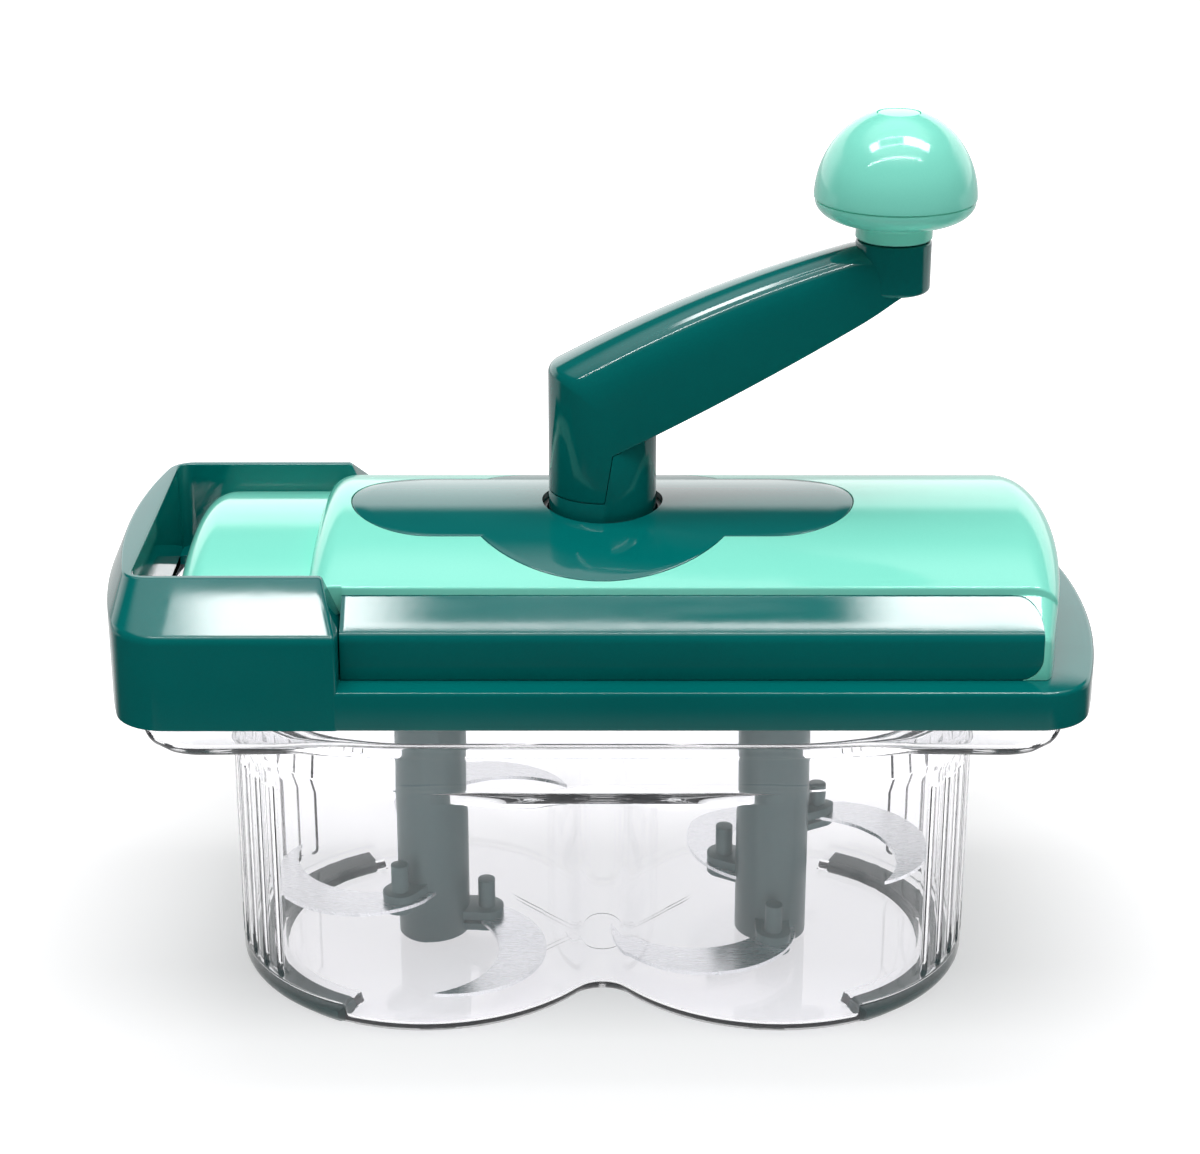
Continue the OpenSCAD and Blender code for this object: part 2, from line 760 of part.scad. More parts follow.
module housing_base() {
    t = unit_wall + band_proud;
    difference() {
        color(teal) union() {
            // Side bands
            intersection() {
                unit_solid(0);
                along_y(unit_half_w) band_side();
            }
            // Inner tub behind the bands
            intersection() {
                unit_solid(band_proud);
                along_y(unit_half_w) band_side();
            }
            // Floor under the tongue
            slab(unit_z, base_floor_t)
                translate([-tongue_out + unit_wall + seam_gap, -tongue_hw + unit_wall + seam_gap])
                    square([tongue_out + unit_x0, 2 * (tongue_hw - unit_wall - seam_gap)]);
        }
        // Room inside
        intersection() {
            unit_solid(t);
            slab(floor_z, apex_z) translate([unit_x0 + t, -unit_half_w])
                square([band_out - seam_gap - unit_wall - unit_x0 - t, 2 * unit_half_w]);
        }
        housing_holes();
    }
    color(teal) difference() {
        union() {
            // Spigot that drops into the frame
            slab(spigot_z, spigot_h) translate([(opening_l0 + opening_l1) / 2, 0])
                difference() {
                    plan((opening_l1 - opening_l0) / 2 - free_gap, opening_hw - free_gap,
                        end_r - free_gap, corner_r - free_gap);
                    plan((opening_l1 - opening_l0) / 2 - free_gap - unit_wall,
                        opening_hw - free_gap - unit_wall,
                        end_r - free_gap - unit_wall, corner_r - free_gap - unit_wall);
                }
            for (s = [-1, 1]) at_shaft(s) translate([0, 0, spigot_z])
                cylinder(r = journal_r + post_wall + over, h = gear_z - free_gap - spigot_z);
            translate([0, 0, spigot_z])
                cylinder(r = crank_journal_r + 2 * post_wall,
                    h = gear_z - crank_flange_t - free_gap - spigot_z);
            for (p = plate_posts) translate([p.x, p.y, unit_z])
                cylinder(r = screw_post_r, h = plate_z - unit_z);
            for (p = housing_posts) translate([p.x, p.y, unit_z])
                cylinder(r = screw_post_r + over / 2, h = post_joint_z - unit_z);
        }
        housing_holes();
    }
}

// Bores for the journals and the screws
module housing_holes() {
    for (s = [-1, 1]) at_shaft(s) translate([0, 0, spigot_z - over])
        cylinder(r = journal_r + run_gap, h = gear_z - spigot_z + over);
    translate([0, 0, spigot_z - over])
        cylinder(r = crank_journal_r + run_gap, h = gear_z - spigot_z + over);
    for (p = plate_posts) translate([p.x, p.y, floor_z + over])
        cylinder(r = screw_r + push_gap, h = plate_z - floor_z);
    for (p = housing_posts) translate([p.x, p.y, unit_z - over]) {
        cylinder(r = screw_r + 3 * push_gap, h = post_joint_z - unit_z + 2 * over);
        cylinder(r = screw_head_r + seam_gap, h = over + screw_head_t + seam_gap);
    }
}

// Outline of the inlay, grown by t
module inlay_outline(t) {
    hw = inlay_half_w + t;
    for (s = [-1, 1]) translate([s * (inlay_half_l - inlay_half_w), 0]) circle(hw);
    square([2 * (inlay_half_l - inlay_half_w), 2 * hw], center = true);
    for (s = [-1, 1]) translate([0, s * inlay_lobe_out]) circle(inlay_lobe_r + t);
}

// Curved skin under the crown, from depth t0 to depth t1
module crown_skin(t0, t1) {
    along_x(-unit_end, unit_end) intersection() {
        difference() {
            translate([0, apex_z - crown_r]) circle(crown_r - t0, $fn = 180);
            translate([0, apex_z - crown_r]) circle(crown_r - t1, $fn = 180);
        }
        translate([-cover_half_w + unit_wall / 2, lip_z])
            square([2 * cover_half_w - unit_wall, apex_z]);
    }
}

module top_cover() {
    color(mint) difference() {
        union() {
            difference() {
                union() {
                    unit_solid(0);
                    tongue_solid(0);
                }
                unit_solid(unit_wall);
                tongue_solid(unit_wall);
            }
            // Pad under the inlay
            intersection() {
                crown_skin(unit_wall / 2, inlay_t + unit_wall);
                slab(lip_z, apex_z) inlay_outline(unit_wall);
            }
            // Screw posts
            intersection() {
                union() {
                    for (p = housing_posts) translate([p.x, p.y, post_joint_z])
                        cylinder(r = screw_post_r, h = apex_z - post_joint_z);
                }
                union() {
                    unit_solid(unit_wall / 2);
                    tongue_solid(unit_wall / 2);
                }
            }
        }
        // The side bands take the place of the lower sides
        along_y(2 * unit_half_w) polygon(concat(
            [[unit_x0 - push_gap, unit_z - 2 * over], [band_out, unit_z - 2 * over]],
            arc([band_out - band_end_r, lip_z - band_end_r], band_end_r, 0, 90),
            [[unit_x0 - push_gap, lip_z]]
        ));
        slab(unit_z - 2 * over, 2 * over)
            square([4 * unit_end, 4 * unit_half_w], center = true);
        // Recess for the inlay, hole for the hub and its collar, screw holes
        intersection() {
            crown_skin(-over, inlay_t);
            slab(lip_z, apex_z) inlay_outline(seam_gap);
        }
        translate([0, 0, lip_z]) cylinder(r = hub_hole_r + push_gap, h = apex_z);
        for (p = housing_posts) translate([p.x, p.y, post_joint_z - over])
            cylinder(r = screw_r + push_gap, h = 0.6 * (apex_z - post_joint_z));
    }
}

module gear_inlay() {
    color(teal) difference() {
        intersection() {
            crown_skin(0, inlay_t - push_gap);
            slab(lip_z, apex_z) inlay_outline(0);
        }
        translate([0, 0, lip_z]) cylinder(r = hub_hole_r, h = apex_z);
    }
}

// Black collar under the hole in the cover, round the crank hub
module hub_collar() {
    flange_t = 1.2;
    top = apex_z - inlay_t;
    flange_r = hub_hole_r + post_wall;
    sag = flange_r * flange_r / (2 * crown_r);
    seat = apex_z - inlay_t - unit_wall - 2 * push_gap - sag;
    color(black) difference() {
        union() {
            translate([0, 0, seat - flange_t])
                cylinder(r = flange_r, h = flange_t);
            translate([0, 0, seat - flange_t])
                cylinder(r = hub_hole_r - push_gap, h = top - seat + flange_t);
        }
        translate([0, 0, seat - flange_t - over])
            cylinder(r = hub_r + free_gap, h = apex_z);
    }
}

module gear_plate() {
    color(gear_white) difference() {
        slab(plate_z, plate_t) plan(plate_hl, plate_hw, end_r, corner_r / 2);
        for (s = [-1, 1]) at_shaft(s) translate([0, 0, plate_z - over])
            cylinder(r = top_journal_r + run_gap, h = plate_t + 2 * over);
        translate([0, 0, plate_z - over])
            cylinder(r = crank_mid_r + run_gap, h = plate_t + 2 * over);
        for (p = plate_posts) translate([p.x, p.y, plate_z - over])
            cylinder(r = screw_r + 3 * push_gap, h = plate_t + 2 * over);
    }
}

// Pan head screw with its head on top, shank from z0 to z1
module screw(z0, z1) {
    translate([0, 0, z0]) cylinder(r = screw_r, h = z1 - z0);
    translate([0, 0, z1]) difference() {
        cylinder(r = screw_head_r, h = screw_head_t);
        for (a = [0, 90]) rotate([0, 0, a])
            translate([-screw_head_r * 0.6, -screw_r / 5, screw_head_t / 2])
                cube([screw_head_r * 1.2, screw_r * 0.4, screw_head_t]);
    }
}

module plate_screws() {
    color(steel) for (p = plate_posts) translate([p.x, p.y, 0])
        screw(floor_z + 2 * over, plate_top);
}

module housing_screws() {
    z1 = unit_z + screw_head_t + seam_gap;
    color(steel) for (p = housing_posts) translate([p.x, p.y, z1]) mirror([0, 0, 1])
        screw(-0.5 * (apex_z - post_joint_z) - post_joint_z + z1, 0);
}

// Involute of a circle with radius rb, at the radius r
function involute(rb, r) = let (u = sqrt(pow(r / rb, 2) - 1)) u * 180 / PI - atan(u);

// Points of a spur gear with a tooth on the X axis, cut back by half the backlash
function gear_points(teeth) =
    let (
        rp = mod * teeth / 2,
        rb = rp * cos(pressure),
        ra = rp + mod,
        rr = rp - 1.25 * mod,
        r0 = max(rb, rr),
        half = 90 / teeth - backlash / rp * 90 / PI + involute(rb, rp),
        flank = 4
    )
    [for (k = [0 : teeth - 1]) let (c = 360 * k / teeth) each concat(
        [let (t = c - half) rr * [cos(t), sin(t)]],
        [for (i = [0 : flank])
            let (r = r0 + (ra - r0) * i / flank, t = c - half + involute(rb, r))
                r * [cos(t), sin(t)]],
        [for (i = [flank : -1 : 0])
            let (r = r0 + (ra - r0) * i / flank, t = c + half - involute(rb, r))
                r * [cos(t), sin(t)]],
        [let (t = c + half) rr * [cos(t), sin(t)]]
    )];

module pinion(side) {
    color(gear_white) at_shaft(side) difference() {
        union() {
            slab(gear_z, gear_t) rotate(180 / pinion_teeth) polygon(gear_points(pinion_teeth));
            translate([0, 0, journal_z]) cylinder(r = journal_r, h = gear_z - journal_z + over);
            translate([0, 0, gear_top - over])
                cylinder(r = top_journal_r, h = plate_top - gear_top + over);
        }
        slab(journal_z - over, socket_top - journal_z + over) hexagon(socket_flats);
    }
}

module pinion_left() { pinion(-1); }
module pinion_right() { pinion(1); }

module drive_gear() {
    rim = 5 * mod;
    web = mod * gear_teeth / 2 - rim;
    color(gear_white) difference() {
        slab(gear_z, gear_t) polygon(gear_points(gear_teeth));
        slab(gear_z - over, gear_t + 2 * over) hexagon(crank_flats + 2 * push_gap);
        // Dished web on the upper side
        translate([0, 0, gear_z + gear_t / 2]) difference() {
            cylinder(r = web, h = gear_t);
            translate([0, 0, -over]) cylinder(r = crank_flats, h = gear_t + 2 * over);
        }
    }
}

module crank_shaft() {
    color(gear_white) difference() {
        union() {
            translate([0, 0, crank_journal_z])
                cylinder(r = crank_journal_r, h = gear_z - crank_journal_z);
            translate([0, 0, gear_z - crank_flange_t])
                cylinder(r = crank_flange_r, h = crank_flange_t);
            slab(gear_z, crank_hex_top - gear_z) hexagon(crank_flats);
            translate([0, 0, gear_top]) cylinder(r = crank_mid_r, h = plate_top - gear_top + over);
        }
        translate([0, 0, crank_journal_z - over])
            cylinder(r = crank_screw_r + push_gap, h = crank_hex_top);
        translate([0, 0, crank_journal_z - over])
            cylinder(r = crank_screw_head_r + seam_gap, h = crank_screw_head_t + over);
    }
}

// Side outline of the arm: the seam on the hub, the notch and the curved underside.
// It is grown downwards by t.
module arm_side(t) {
    end = crank_r - 0.3 * post_r;
    steps = 2 * arc_steps;
    polygon(concat(
        [[-2 * hub_r, knob_top], [-2 * hub_r, seam_z - t], [seam_x + t, seam_z - t]],
        [for (i = [0 : steps]) let (x = notch_x + t + (end - notch_x - t) * i / steps)
            [x, arm_under(x) - t]],
        [[crank_r + 2 * post_r, arm_under(end) - t], [crank_r + 2 * post_r, knob_top]]
    ));
}

// Rings of the arm, each standing across it. The top of a ring is a half superellipse,
// so the arm has a full crown and soft shoulders, and its sides stop at the hub's wall.
// The arm is drawn in by t, and its underside is lowered by drop.
module arm_body(xs, t, drop) {
    side = 10;
    full = 2.5;
    n = side + 3;
    mid = (n - 1) / 2;
    last = (len(xs) - 1) * n * [1, 1, 1];
    points = [
        for (x = xs) let (
            w = arm_chord(x) - t,
            crown_w = arm_half_w(max(x, 0)) - t,
            h = arch(max(x, 0)),
            shoulder = arm_top(x) - t - h,
            low = arm_low(x) - drop
        ) each concat(
            [[x, w, low]],
            [for (k = [0 : side]) let (y = w * cos(180 * k / side))
                [x, y, shoulder + h * pow(1 - pow(abs(y) / crown_w, full), 1 / full)]],
            [[x, -w, low]]
        )
    ];
    faces = concat(
        [for (k = [0 : mid - 1]) [k, k + 1, n - 1 - k]],
        [for (k = [1 : mid - 1]) [k, n - 1 - k, n - k]],
        [for (k = [0 : mid - 1]) last + [k, n - 1 - k, k + 1]],
        [for (k = [1 : mid - 1]) last + [k, n - k, n - 1 - k]],
        [for (i = [0 : len(xs) - 2]) for (k = [0 : n - 1]) each [
            [i * n + k, (i + 1) * n + k, (i + 1) * n + (k + 1) % n],
            [i * n + k, (i + 1) * n + (k + 1) % n, i * n + (k + 1) % n]
        ]]
    );
    polyhedron(points, faces);
}

module crank_arm() {
    steps = 2 * arc_steps;
    x0 = hub_r + arm_wall;
    x1 = crank_r - post_r;
    end = crank_r + 0.2 * post_r;
    color(teal) difference() {
        union() {
            arm_body(concat(
                [for (i = [0 : arc_steps]) -hub_r * cos(20 + 70 * i / arc_steps)],
                [seam_x],
                [for (i = [0 : steps]) notch_x + (end - notch_x) * i / steps]
            ), 0, 0);
            translate([crank_r, 0, post_z]) cylinder(r = post_r, h = post_h);
        }
        // Hollow of the arm, open underneath
        arm_body([for (i = [0 : steps]) x0 + (x1 - x0) * i / steps], arm_wall, over);
        translate([0, 0, seam_z - 2 * over])
            cylinder(r = hub_core_r + seam_gap, h = hub_core_top - seam_z + 2 * over + seam_gap);
        translate([crank_r, 0, knob_pin_z])
            cylinder(r = knob_pin_r + push_gap, h = 2 * post_h);
    }
}

module arm_underside() {
    x0 = hub_r + arm_wall + seam_gap;
    x1 = crank_r - post_r - seam_gap;
    w0 = arm_half_w(x0) - arm_wall - seam_gap;
    w1 = arm_half_w(x1) - arm_wall - seam_gap;
    steps = 2 * arc_steps;
    proud = 0.2 * underside_t;
    color(teal) intersection() {
        along_y(hub_r) polygon(concat(
            [for (i = [0 : steps]) let (x = x0 + (x1 - x0) * i / steps)
                [x, arm_under(x) - proud]],
            [for (i = [steps : -1 : 0]) let (x = x0 + (x1 - x0) * i / steps)
                [x, arm_under(x) + underside_t - proud]]
        ));
        slab(0, knob_top) polygon([[x0, -w0], [x1, -w1], [x1, w1], [x0, w0]]);
    }
}

module crank_hub() {
    color(teal) difference() {
        union() {
            difference() {
                translate([0, 0, hub_z]) cylinder(r = hub_r, h = hub_core_top - hub_z);
                along_y(2 * hub_r) arm_side(seam_gap);
            }
            translate([0, 0, hub_z]) cylinder(r = hub_core_r, h = hub_core_top - hub_z);
        }
        slab(hub_z - over, crank_hex_top - hub_z + over + push_gap)
            hexagon(crank_flats + 2 * push_gap);
        translate([0, 0, crank_hex_top - over])
            cylinder(r = crank_screw_r + push_gap, h = 0.8 * (hub_core_top - crank_hex_top));
    }
}

module crank_screw() {
    color(steel) {
        translate([0, 0, crank_journal_z + push_gap])
            cylinder(r = crank_screw_head_r, h = crank_screw_head_t - 2 * push_gap);
        translate([0, 0, crank_journal_z + crank_screw_head_t - over])
            cylinder(r = crank_screw_r,
                h = crank_hex_top - crank_journal_z - crank_screw_head_t
                    + 0.6 * (hub_core_top - crank_hex_top));
    }
}

module knob_pin() {
    color(steel) translate([crank_r, 0, knob_pin_z]) difference() {
        cylinder(r = knob_pin_r, h = knob_pin_top - knob_pin_z);
        translate([0, 0, (knob_pin_top - knob_pin_z) / 2])
            cylinder(r = knob_screw_r + push_gap, h = knob_pin_top);
    }
}

module knob_screw() {
    color(steel) translate([crank_r, 0, knob_pin_top]) {
        translate([0, 0, push_gap]) cylinder(r = knob_screw_head_r, h = knob_screw_head_t);
        translate([0, 0, -0.4 * (knob_pin_top - knob_pin_z)])
            cylinder(r = knob_screw_r, h = 0.4 * (knob_pin_top - knob_pin_z) + over);
    }
}

// Profile of the dome from its seam to the disc, drawn in by t
function dome_profile(t) =
    let (b = dome_h / sqrt(1 - pow(disc_r / knob_r, 2)), a1 = acos(disc_r / knob_r))
    [for (i = [0 : 2 * arc_steps]) let (a = a1 * i / (2 * arc_steps))
        [(knob_r - t) * cos(a), (b - t) * sin(a)]];

module knob_dome() {
    color(mint) translate([crank_r, 0, knob_seam_z]) difference() {
        rotate_extrude() polygon(concat([[0, 0]], dome_profile(0), [[0, dome_h]]));
        rotate_extrude() polygon(concat(
            [[0, -over], [knob_r - knob_wall, -over]],
            dome_profile(knob_wall), [[0, dome_h - 2 * knob_wall]]
        ));
        translate([0, 0, dome_h - disc_t]) cylinder(r = disc_r - knob_wall / 4, h = disc_t + over);
        cylinder(r = knob_screw_head_r + free_gap, h = dome_h + over);
    }
}

module knob_disc() {
    color(mint) translate([crank_r, 0, knob_top - disc_t + push_gap])
        cylinder(r = disc_r - knob_wall / 4 - push_gap, h = disc_t - push_gap);
}

module knob_base() {
    cap_h = knob_base_h - knob_collar_h;
    tube_r = knob_pin_r + knob_wall;
    tube_top = knob_pin_top - knob_gap;
    color(mint) translate([crank_r, 0, knob_z]) difference() {
        union() {
            rotate_extrude() polygon([
                [0, 0], [knob_collar_r, 0], [knob_collar_r, knob_collar_h],
                [0.8 * knob_r, knob_base_h - 0.3 * cap_h], [0.95 * knob_r, knob_base_h],
                [0, knob_base_h]
            ]);
            cylinder(r = tube_r, h = tube_top - knob_z);
            // Rim that locates the dome
            translate([0, 0, knob_base_h - slice])
                cylinder(r = knob_r - knob_wall - 3 * push_gap, h = knob_wall / 2 + slice);
        }
        translate([0, 0, knob_base_h - knob_wall / 4]) difference() {
            cylinder(r = knob_r - 2 * knob_wall, h = dome_h);
            translate([0, 0, -over]) cylinder(r = tube_r, h = dome_h + 2 * over);
        }
        translate([0, 0, -over])
            cylinder(r = knob_pin_r + run_gap, h = tube_top - knob_z + 2 * over);
    }
}

bowl();
foot_left();
foot_right();
pivot_pin_left();
pivot_pin_right();
blade_shaft_left();
blade_left_low();
blade_left_mid();
blade_left_top();
blade_shaft_right();
blade_right_low();
blade_right_mid();
blade_right_top();
frame();
housing_base();
top_cover();
gear_inlay();
hub_collar();
gear_plate();
plate_screws();
housing_screws();
pinion_left();
pinion_right();
crank_shaft();
drive_gear();
crank_hub();
crank_arm();
arm_underside();
crank_screw();
knob_pin();
knob_screw();
knob_dome();
knob_base();
knob_disc();
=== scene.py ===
"""Looks of the crank food chopper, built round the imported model.

The shapes are drawn in millimetres, in the frame of the model, and are turned to metres
where their meshes are made.
"""
import math

import bmesh
import bpy
import numpy as np
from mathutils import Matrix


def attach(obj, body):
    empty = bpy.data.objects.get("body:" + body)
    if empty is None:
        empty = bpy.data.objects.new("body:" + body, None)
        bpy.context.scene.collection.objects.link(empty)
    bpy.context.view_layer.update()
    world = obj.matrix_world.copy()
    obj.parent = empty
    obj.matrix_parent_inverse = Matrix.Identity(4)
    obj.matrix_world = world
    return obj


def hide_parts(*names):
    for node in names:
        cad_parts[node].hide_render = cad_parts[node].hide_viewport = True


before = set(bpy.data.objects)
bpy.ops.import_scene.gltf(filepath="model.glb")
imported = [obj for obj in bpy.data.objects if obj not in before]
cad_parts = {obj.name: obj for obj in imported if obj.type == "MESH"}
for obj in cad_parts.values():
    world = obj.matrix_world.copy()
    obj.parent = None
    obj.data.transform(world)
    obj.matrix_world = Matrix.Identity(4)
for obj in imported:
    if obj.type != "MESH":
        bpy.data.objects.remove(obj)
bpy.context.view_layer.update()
MM = 0.001

# Sizes taken from the model, in millimetres: the bowl
HALF_GAP, LOBE_R, WAIST_R = 48.0, 54.2, 8.0
BOWL_Z, FLOOR_Z, WALL, BASE_EDGE, FLOOR_EDGE = 1.0, 3.4, 2.4, 4.0, 1.6
LEDGE_Z, COLLAR_Z, COLLAR_STEP = 70.0, 74.0, 1.0
LEDGE_SLOPE, LEDGE_R, MIDDLE_Z = 0.32, 8.0, 38.0
TRAY_Z, TRAY_TOP, TRAY_WALL = 84.5, 102.5, 2.2
TRAY_L, TRAY_W, END_R, CORNER_R = 124.5, 58.0, 200.0, 14.0
FLUTES, FLUTE_PITCH, FLUTE_R, FLUTE_DEPTH = 12, 7.8, 2.2, 1.0
FLUTE_LOW, FLUTE_HIGH = 9.0, 68.0
CHANNEL_R, CHANNEL_RISE, CHANNEL_ANGLE = 42.2, 3.0, 66.0
# The frame
FRAME_L, FRAME_W, SKIRT_Z, DECK_Z, DECK_T, FRAME_WALL = 131.5, 62.0, 94.5, 105.0, 2.5, 2.4
OPEN_X0, OPEN_X1, OPEN_W, HAIR = -61.0, 109.2, 46.0, 0.05
GUARD_X, GUARD_EDGE, SHOULDER_Z = -67.0, 0.9, 119.5
RIM_Z, RIM_L, RIM_W, RIM_CORNER_R = 129.7, 127.0, 45.5, 7.0
BAY_W, BAY_CORNER_R, HANDLE_X, LEAN = 43.4, 3.0, 120.5, 4.5
SLOT_L, SLOT_W = 6.6, 34.7
TAB_X, TAB_L, TAB_T, TAB_Z, TAB_GAP = 88.0, 5.0, 1.2, 92.6, 0.35
# The drive unit
UNIT_W, BAND_Z, LIP_W, LIP_Z, CROWN_Z, APEX_Z = 54.0, 117.0, 43.5, 124.3, 126.3, 134.8
CROWN_R = (LIP_W ** 2 + (APEX_Z - CROWN_Z) ** 2) / (2 * (APEX_Z - CROWN_Z))
UNIT_X0, UNIT_X1, BAND_X1, BAND_END_R = -66.65, 121.2, 111.85, 6.0
CROWN_END_R, CROWN_TURN_X, COVER_T, ROOM_DROP = 11.0, 105.0, 2.4, 6.0
STEP_X, STEP_R, STEP_Z = -76.0, 7.0, 119.0
TONGUE_X, TONGUE_W, TONGUE_DROP, TONGUE_T, TONGUE_LIFT = -112.0, 43.05, 5.0, 2.2, 2.6
INLAY_L, INLAY_W, INLAY_OUT, INLAY_LOBE, INLAY_T = 67.3, 22.5, 4.6, 36.4, 2.0
SPIGOT_Z, SPIGOT_GAP, SPIGOT_T = 102.0, 0.35, 2.4
# The three bearings under the gears: place, radius of bore and of wall, and top
BEARINGS = [(-HALF_GAP, 8.66, 11.6, 111.65), (0, 5.06, 9, 109.65), (HALF_GAP, 8.66, 11.6, 111.65)]
# The crank and the knob
HUB_R, HOLE_R, SEAM_Z, CRANK_R = 14.4, 16.2, 138.4, 75.5
ARM_HUB_H, ARM_POST_H, ARM_EDGE = 17.0, 9.5, 1.5
POST_R, POST_Z, POST_TOP = 9.9, 192.86, 206.26
KNOB_R, KNOB_Z, KNOB_SEAM, KNOB_TOP, DISC_R = 21.1, 206.76, 217.26, 239.36, 5.8


def grid(rows, cols, wrap_rows=False, wrap_cols=False):
    """Four-sided faces between the points of neighbouring rows and columns."""
    i = np.arange(rows if wrap_rows else rows - 1)
    j = np.arange(cols if wrap_cols else cols - 1)
    a, b = np.meshgrid(i, j, indexing="ij")
    c, d = (a + 1) % rows, (b + 1) % cols
    faces = np.stack([a * cols + b, a * cols + d, c * cols + d, c * cols + b], -1)
    return faces.reshape(-1, 4)


def tidy_mesh(mesh, merge=0.002, angle=35.0):
    """Merges points that meet, turns the faces outward and keeps edges over the angle sharp."""
    bm = bmesh.new()
    bm.from_mesh(mesh)
    bmesh.ops.remove_doubles(bm, verts=bm.verts, dist=merge * MM)
    bmesh.ops.dissolve_degenerate(bm, edges=bm.edges, dist=merge * MM / 2)
    bmesh.ops.recalc_face_normals(bm, faces=bm.faces)
    bm.to_mesh(mesh)
    bm.free()
    mesh.shade_smooth()
    mesh.set_sharp_from_angle(angle=math.radians(angle))


def place(name, data):
    """A new object in the scene."""
    obj = bpy.data.objects.new(name, data)
    bpy.context.scene.collection.objects.link(obj)
    return obj


def make(name, parts, merge=0.002, angle=35.0):
    """An object from one or more pairs of points and faces, in millimetres."""
    points, faces, first = [], [], 0
    for p, f in parts:
        p = np.asarray(p, float).reshape(-1, 3)
        points.append(p)
        faces.extend((np.asarray(f) + first).tolist())
        first += len(p)
    mesh = bpy.data.meshes.new(name)
    mesh.from_pydata((np.concatenate(points) * MM).tolist(), [], faces)
    tidy_mesh(mesh, merge, angle)
    return place(name, mesh)


def bake(obj, angle=35.0):
    """Applies the object's modifiers to its mesh."""
    bpy.context.view_layer.update()
    shown = obj.evaluated_get(bpy.context.evaluated_depsgraph_get())
    mesh = bpy.data.meshes.new_from_object(shown)
    obj.modifiers.clear()
    obj.data = mesh
    tidy_mesh(mesh, angle=angle)


def closed(loop, *caps):
    """Parts of a form from its closed sections, with flat caps over the listed ones."""
    rows, cols = loop.shape[:2]
    walls = [(loop, grid(rows, cols, wrap_cols=True))]
    return walls + [(loop[k], [np.arange(cols)]) for k in caps]


def both_sides(half):
    """Closed sections from half sections that run from under the middle to the ridge."""
    return np.concatenate([half, (half * [1, -1, 1])[:, ::-1][:, 1:-1]], 1)


def falls(r, x):
    """How far a quarter circle of radius r has fallen at a distance x past its start."""
    return r - np.sqrt(np.maximum(r ** 2 - np.maximum(x, 0) ** 2, 0))


def cut(obj, *cutters):
    """Takes the cutters' shapes out of the object and removes the cutters."""
    for cutter in cutters:
        boolean = obj.modifiers.new("cut", "BOOLEAN")
        boolean.operation = "DIFFERENCE"
        boolean.solver = "EXACT"
        boolean.object = cutter
    bake(obj)
    for cutter in cutters:
        bpy.data.objects.remove(cutter)


def join(obj, *others):
    """Adds the meshes of the others to the object and removes them."""
    bm = bmesh.new()
    for o in (obj,) + others:
        bm.from_mesh(o.data)
    bm.to_mesh(obj.data)
    bm.free()
    for o in others:
        bpy.data.objects.remove(o)
    return obj


def bevel(obj, width, segments, angle):
    """Rounds the edges that are sharper than the angle."""
    rounding = obj.modifiers.new("edges", "BEVEL")
    rounding.width = width * MM
    rounding.segments = segments
    rounding.limit_method = "ANGLE"
    rounding.angle_limit = math.radians(angle)


def rounded(points, radii, steps):
    """The line through the points with each inner corner turned into an arc.

    The arc touches both sides of the corner, and takes less than half of either.
    """
    p = np.asarray(points, float)
    r = np.asarray(radii, float)
    at = p[..., 1:-1, :]
    u, v = p[..., :-2, :] - at, p[..., 2:, :] - at
    lu = np.linalg.norm(u, axis=-1, keepdims=True)
    lv = np.linalg.norm(v, axis=-1, keepdims=True)
    u, v = u / np.maximum(lu, 1e-9), v / np.maximum(lv, 1e-9)
    half = np.arccos(np.clip((u * v).sum(-1, keepdims=True), -1, 1)) / 2
    half = np.clip(half, 1e-4, math.pi / 2 - 1e-5)
    reach = np.minimum(r[..., None] / np.tan(half), 0.49 * np.minimum(lu, lv))
    r = reach * np.tan(half)
    middle = (u + v) / np.maximum(np.linalg.norm(u + v, axis=-1, keepdims=True), 1e-12)
    centre = at + middle * r / np.sin(half)
    a, b = at + u * reach - centre, at + v * reach - centre
    turn = (math.pi - 2 * half)[..., None, :]
    s = np.linspace(0, 1, steps + 1)[:, None]
    wa, wb = np.sin((1 - s) * turn) / np.sin(turn), np.sin(s * turn) / np.sin(turn)
    arcs = centre[..., None, :] + wa * a[..., None, :] + wb * b[..., None, :]
    arcs = arcs.reshape(p.shape[:-2] + (-1, p.shape[-1]))
    return np.concatenate([p[..., :1, :], arcs, p[..., -1:, :]], axis=-2)


def turns(a0, a1, n):
    """Angles in radians from a0 to a1 degrees."""
    return np.radians(np.linspace(a0, a1, n))


def arc(cx, cy, r, a0, a1, n):
    """Points on a circle from angle a0 to angle a1, in degrees."""
    t = turns(a0, a1, n)
    return np.stack([cx + r * np.cos(t), cy + r * np.sin(t)], -1)


def plan(hl, hw, er, cr, n_end, n_corner, cx=0.0):
    """Outline with straight long sides, bulging ends and round corners, anticlockwise.

    The corner circles touch the long sides and, from inside, the end circles.
    """
    ex, yc = hl - er, hw - cr
    xc = ex + math.sqrt((er - cr) ** 2 - yc ** 2)
    a = math.degrees(math.atan2(yc, xc - ex))
    right = np.concatenate([
        arc(xc, -yc, cr, -90, -a, n_corner)[:-1],
        arc(ex, 0, er, -a, a, n_end),
        arc(xc, yc, cr, a, 90, n_corner)[1:]])
    points = np.concatenate([right, -right])
    return points + [cx, 0]


def lathe(name, profile, cx=0.0, n=96, angle=35.0):
    """A profile of radius and height turned round an upright axis at x = cx."""
    p = np.asarray(profile, float)
    t = np.linspace(0, 2 * math.pi, n, endpoint=False)
    x = cx + p[:, :1] * np.cos(t)
    y = p[:, :1] * np.sin(t)
    z = np.repeat(p[:, 1:], n, axis=1)
    return make(name, closed(np.stack([x, y, z], -1)), angle=angle)


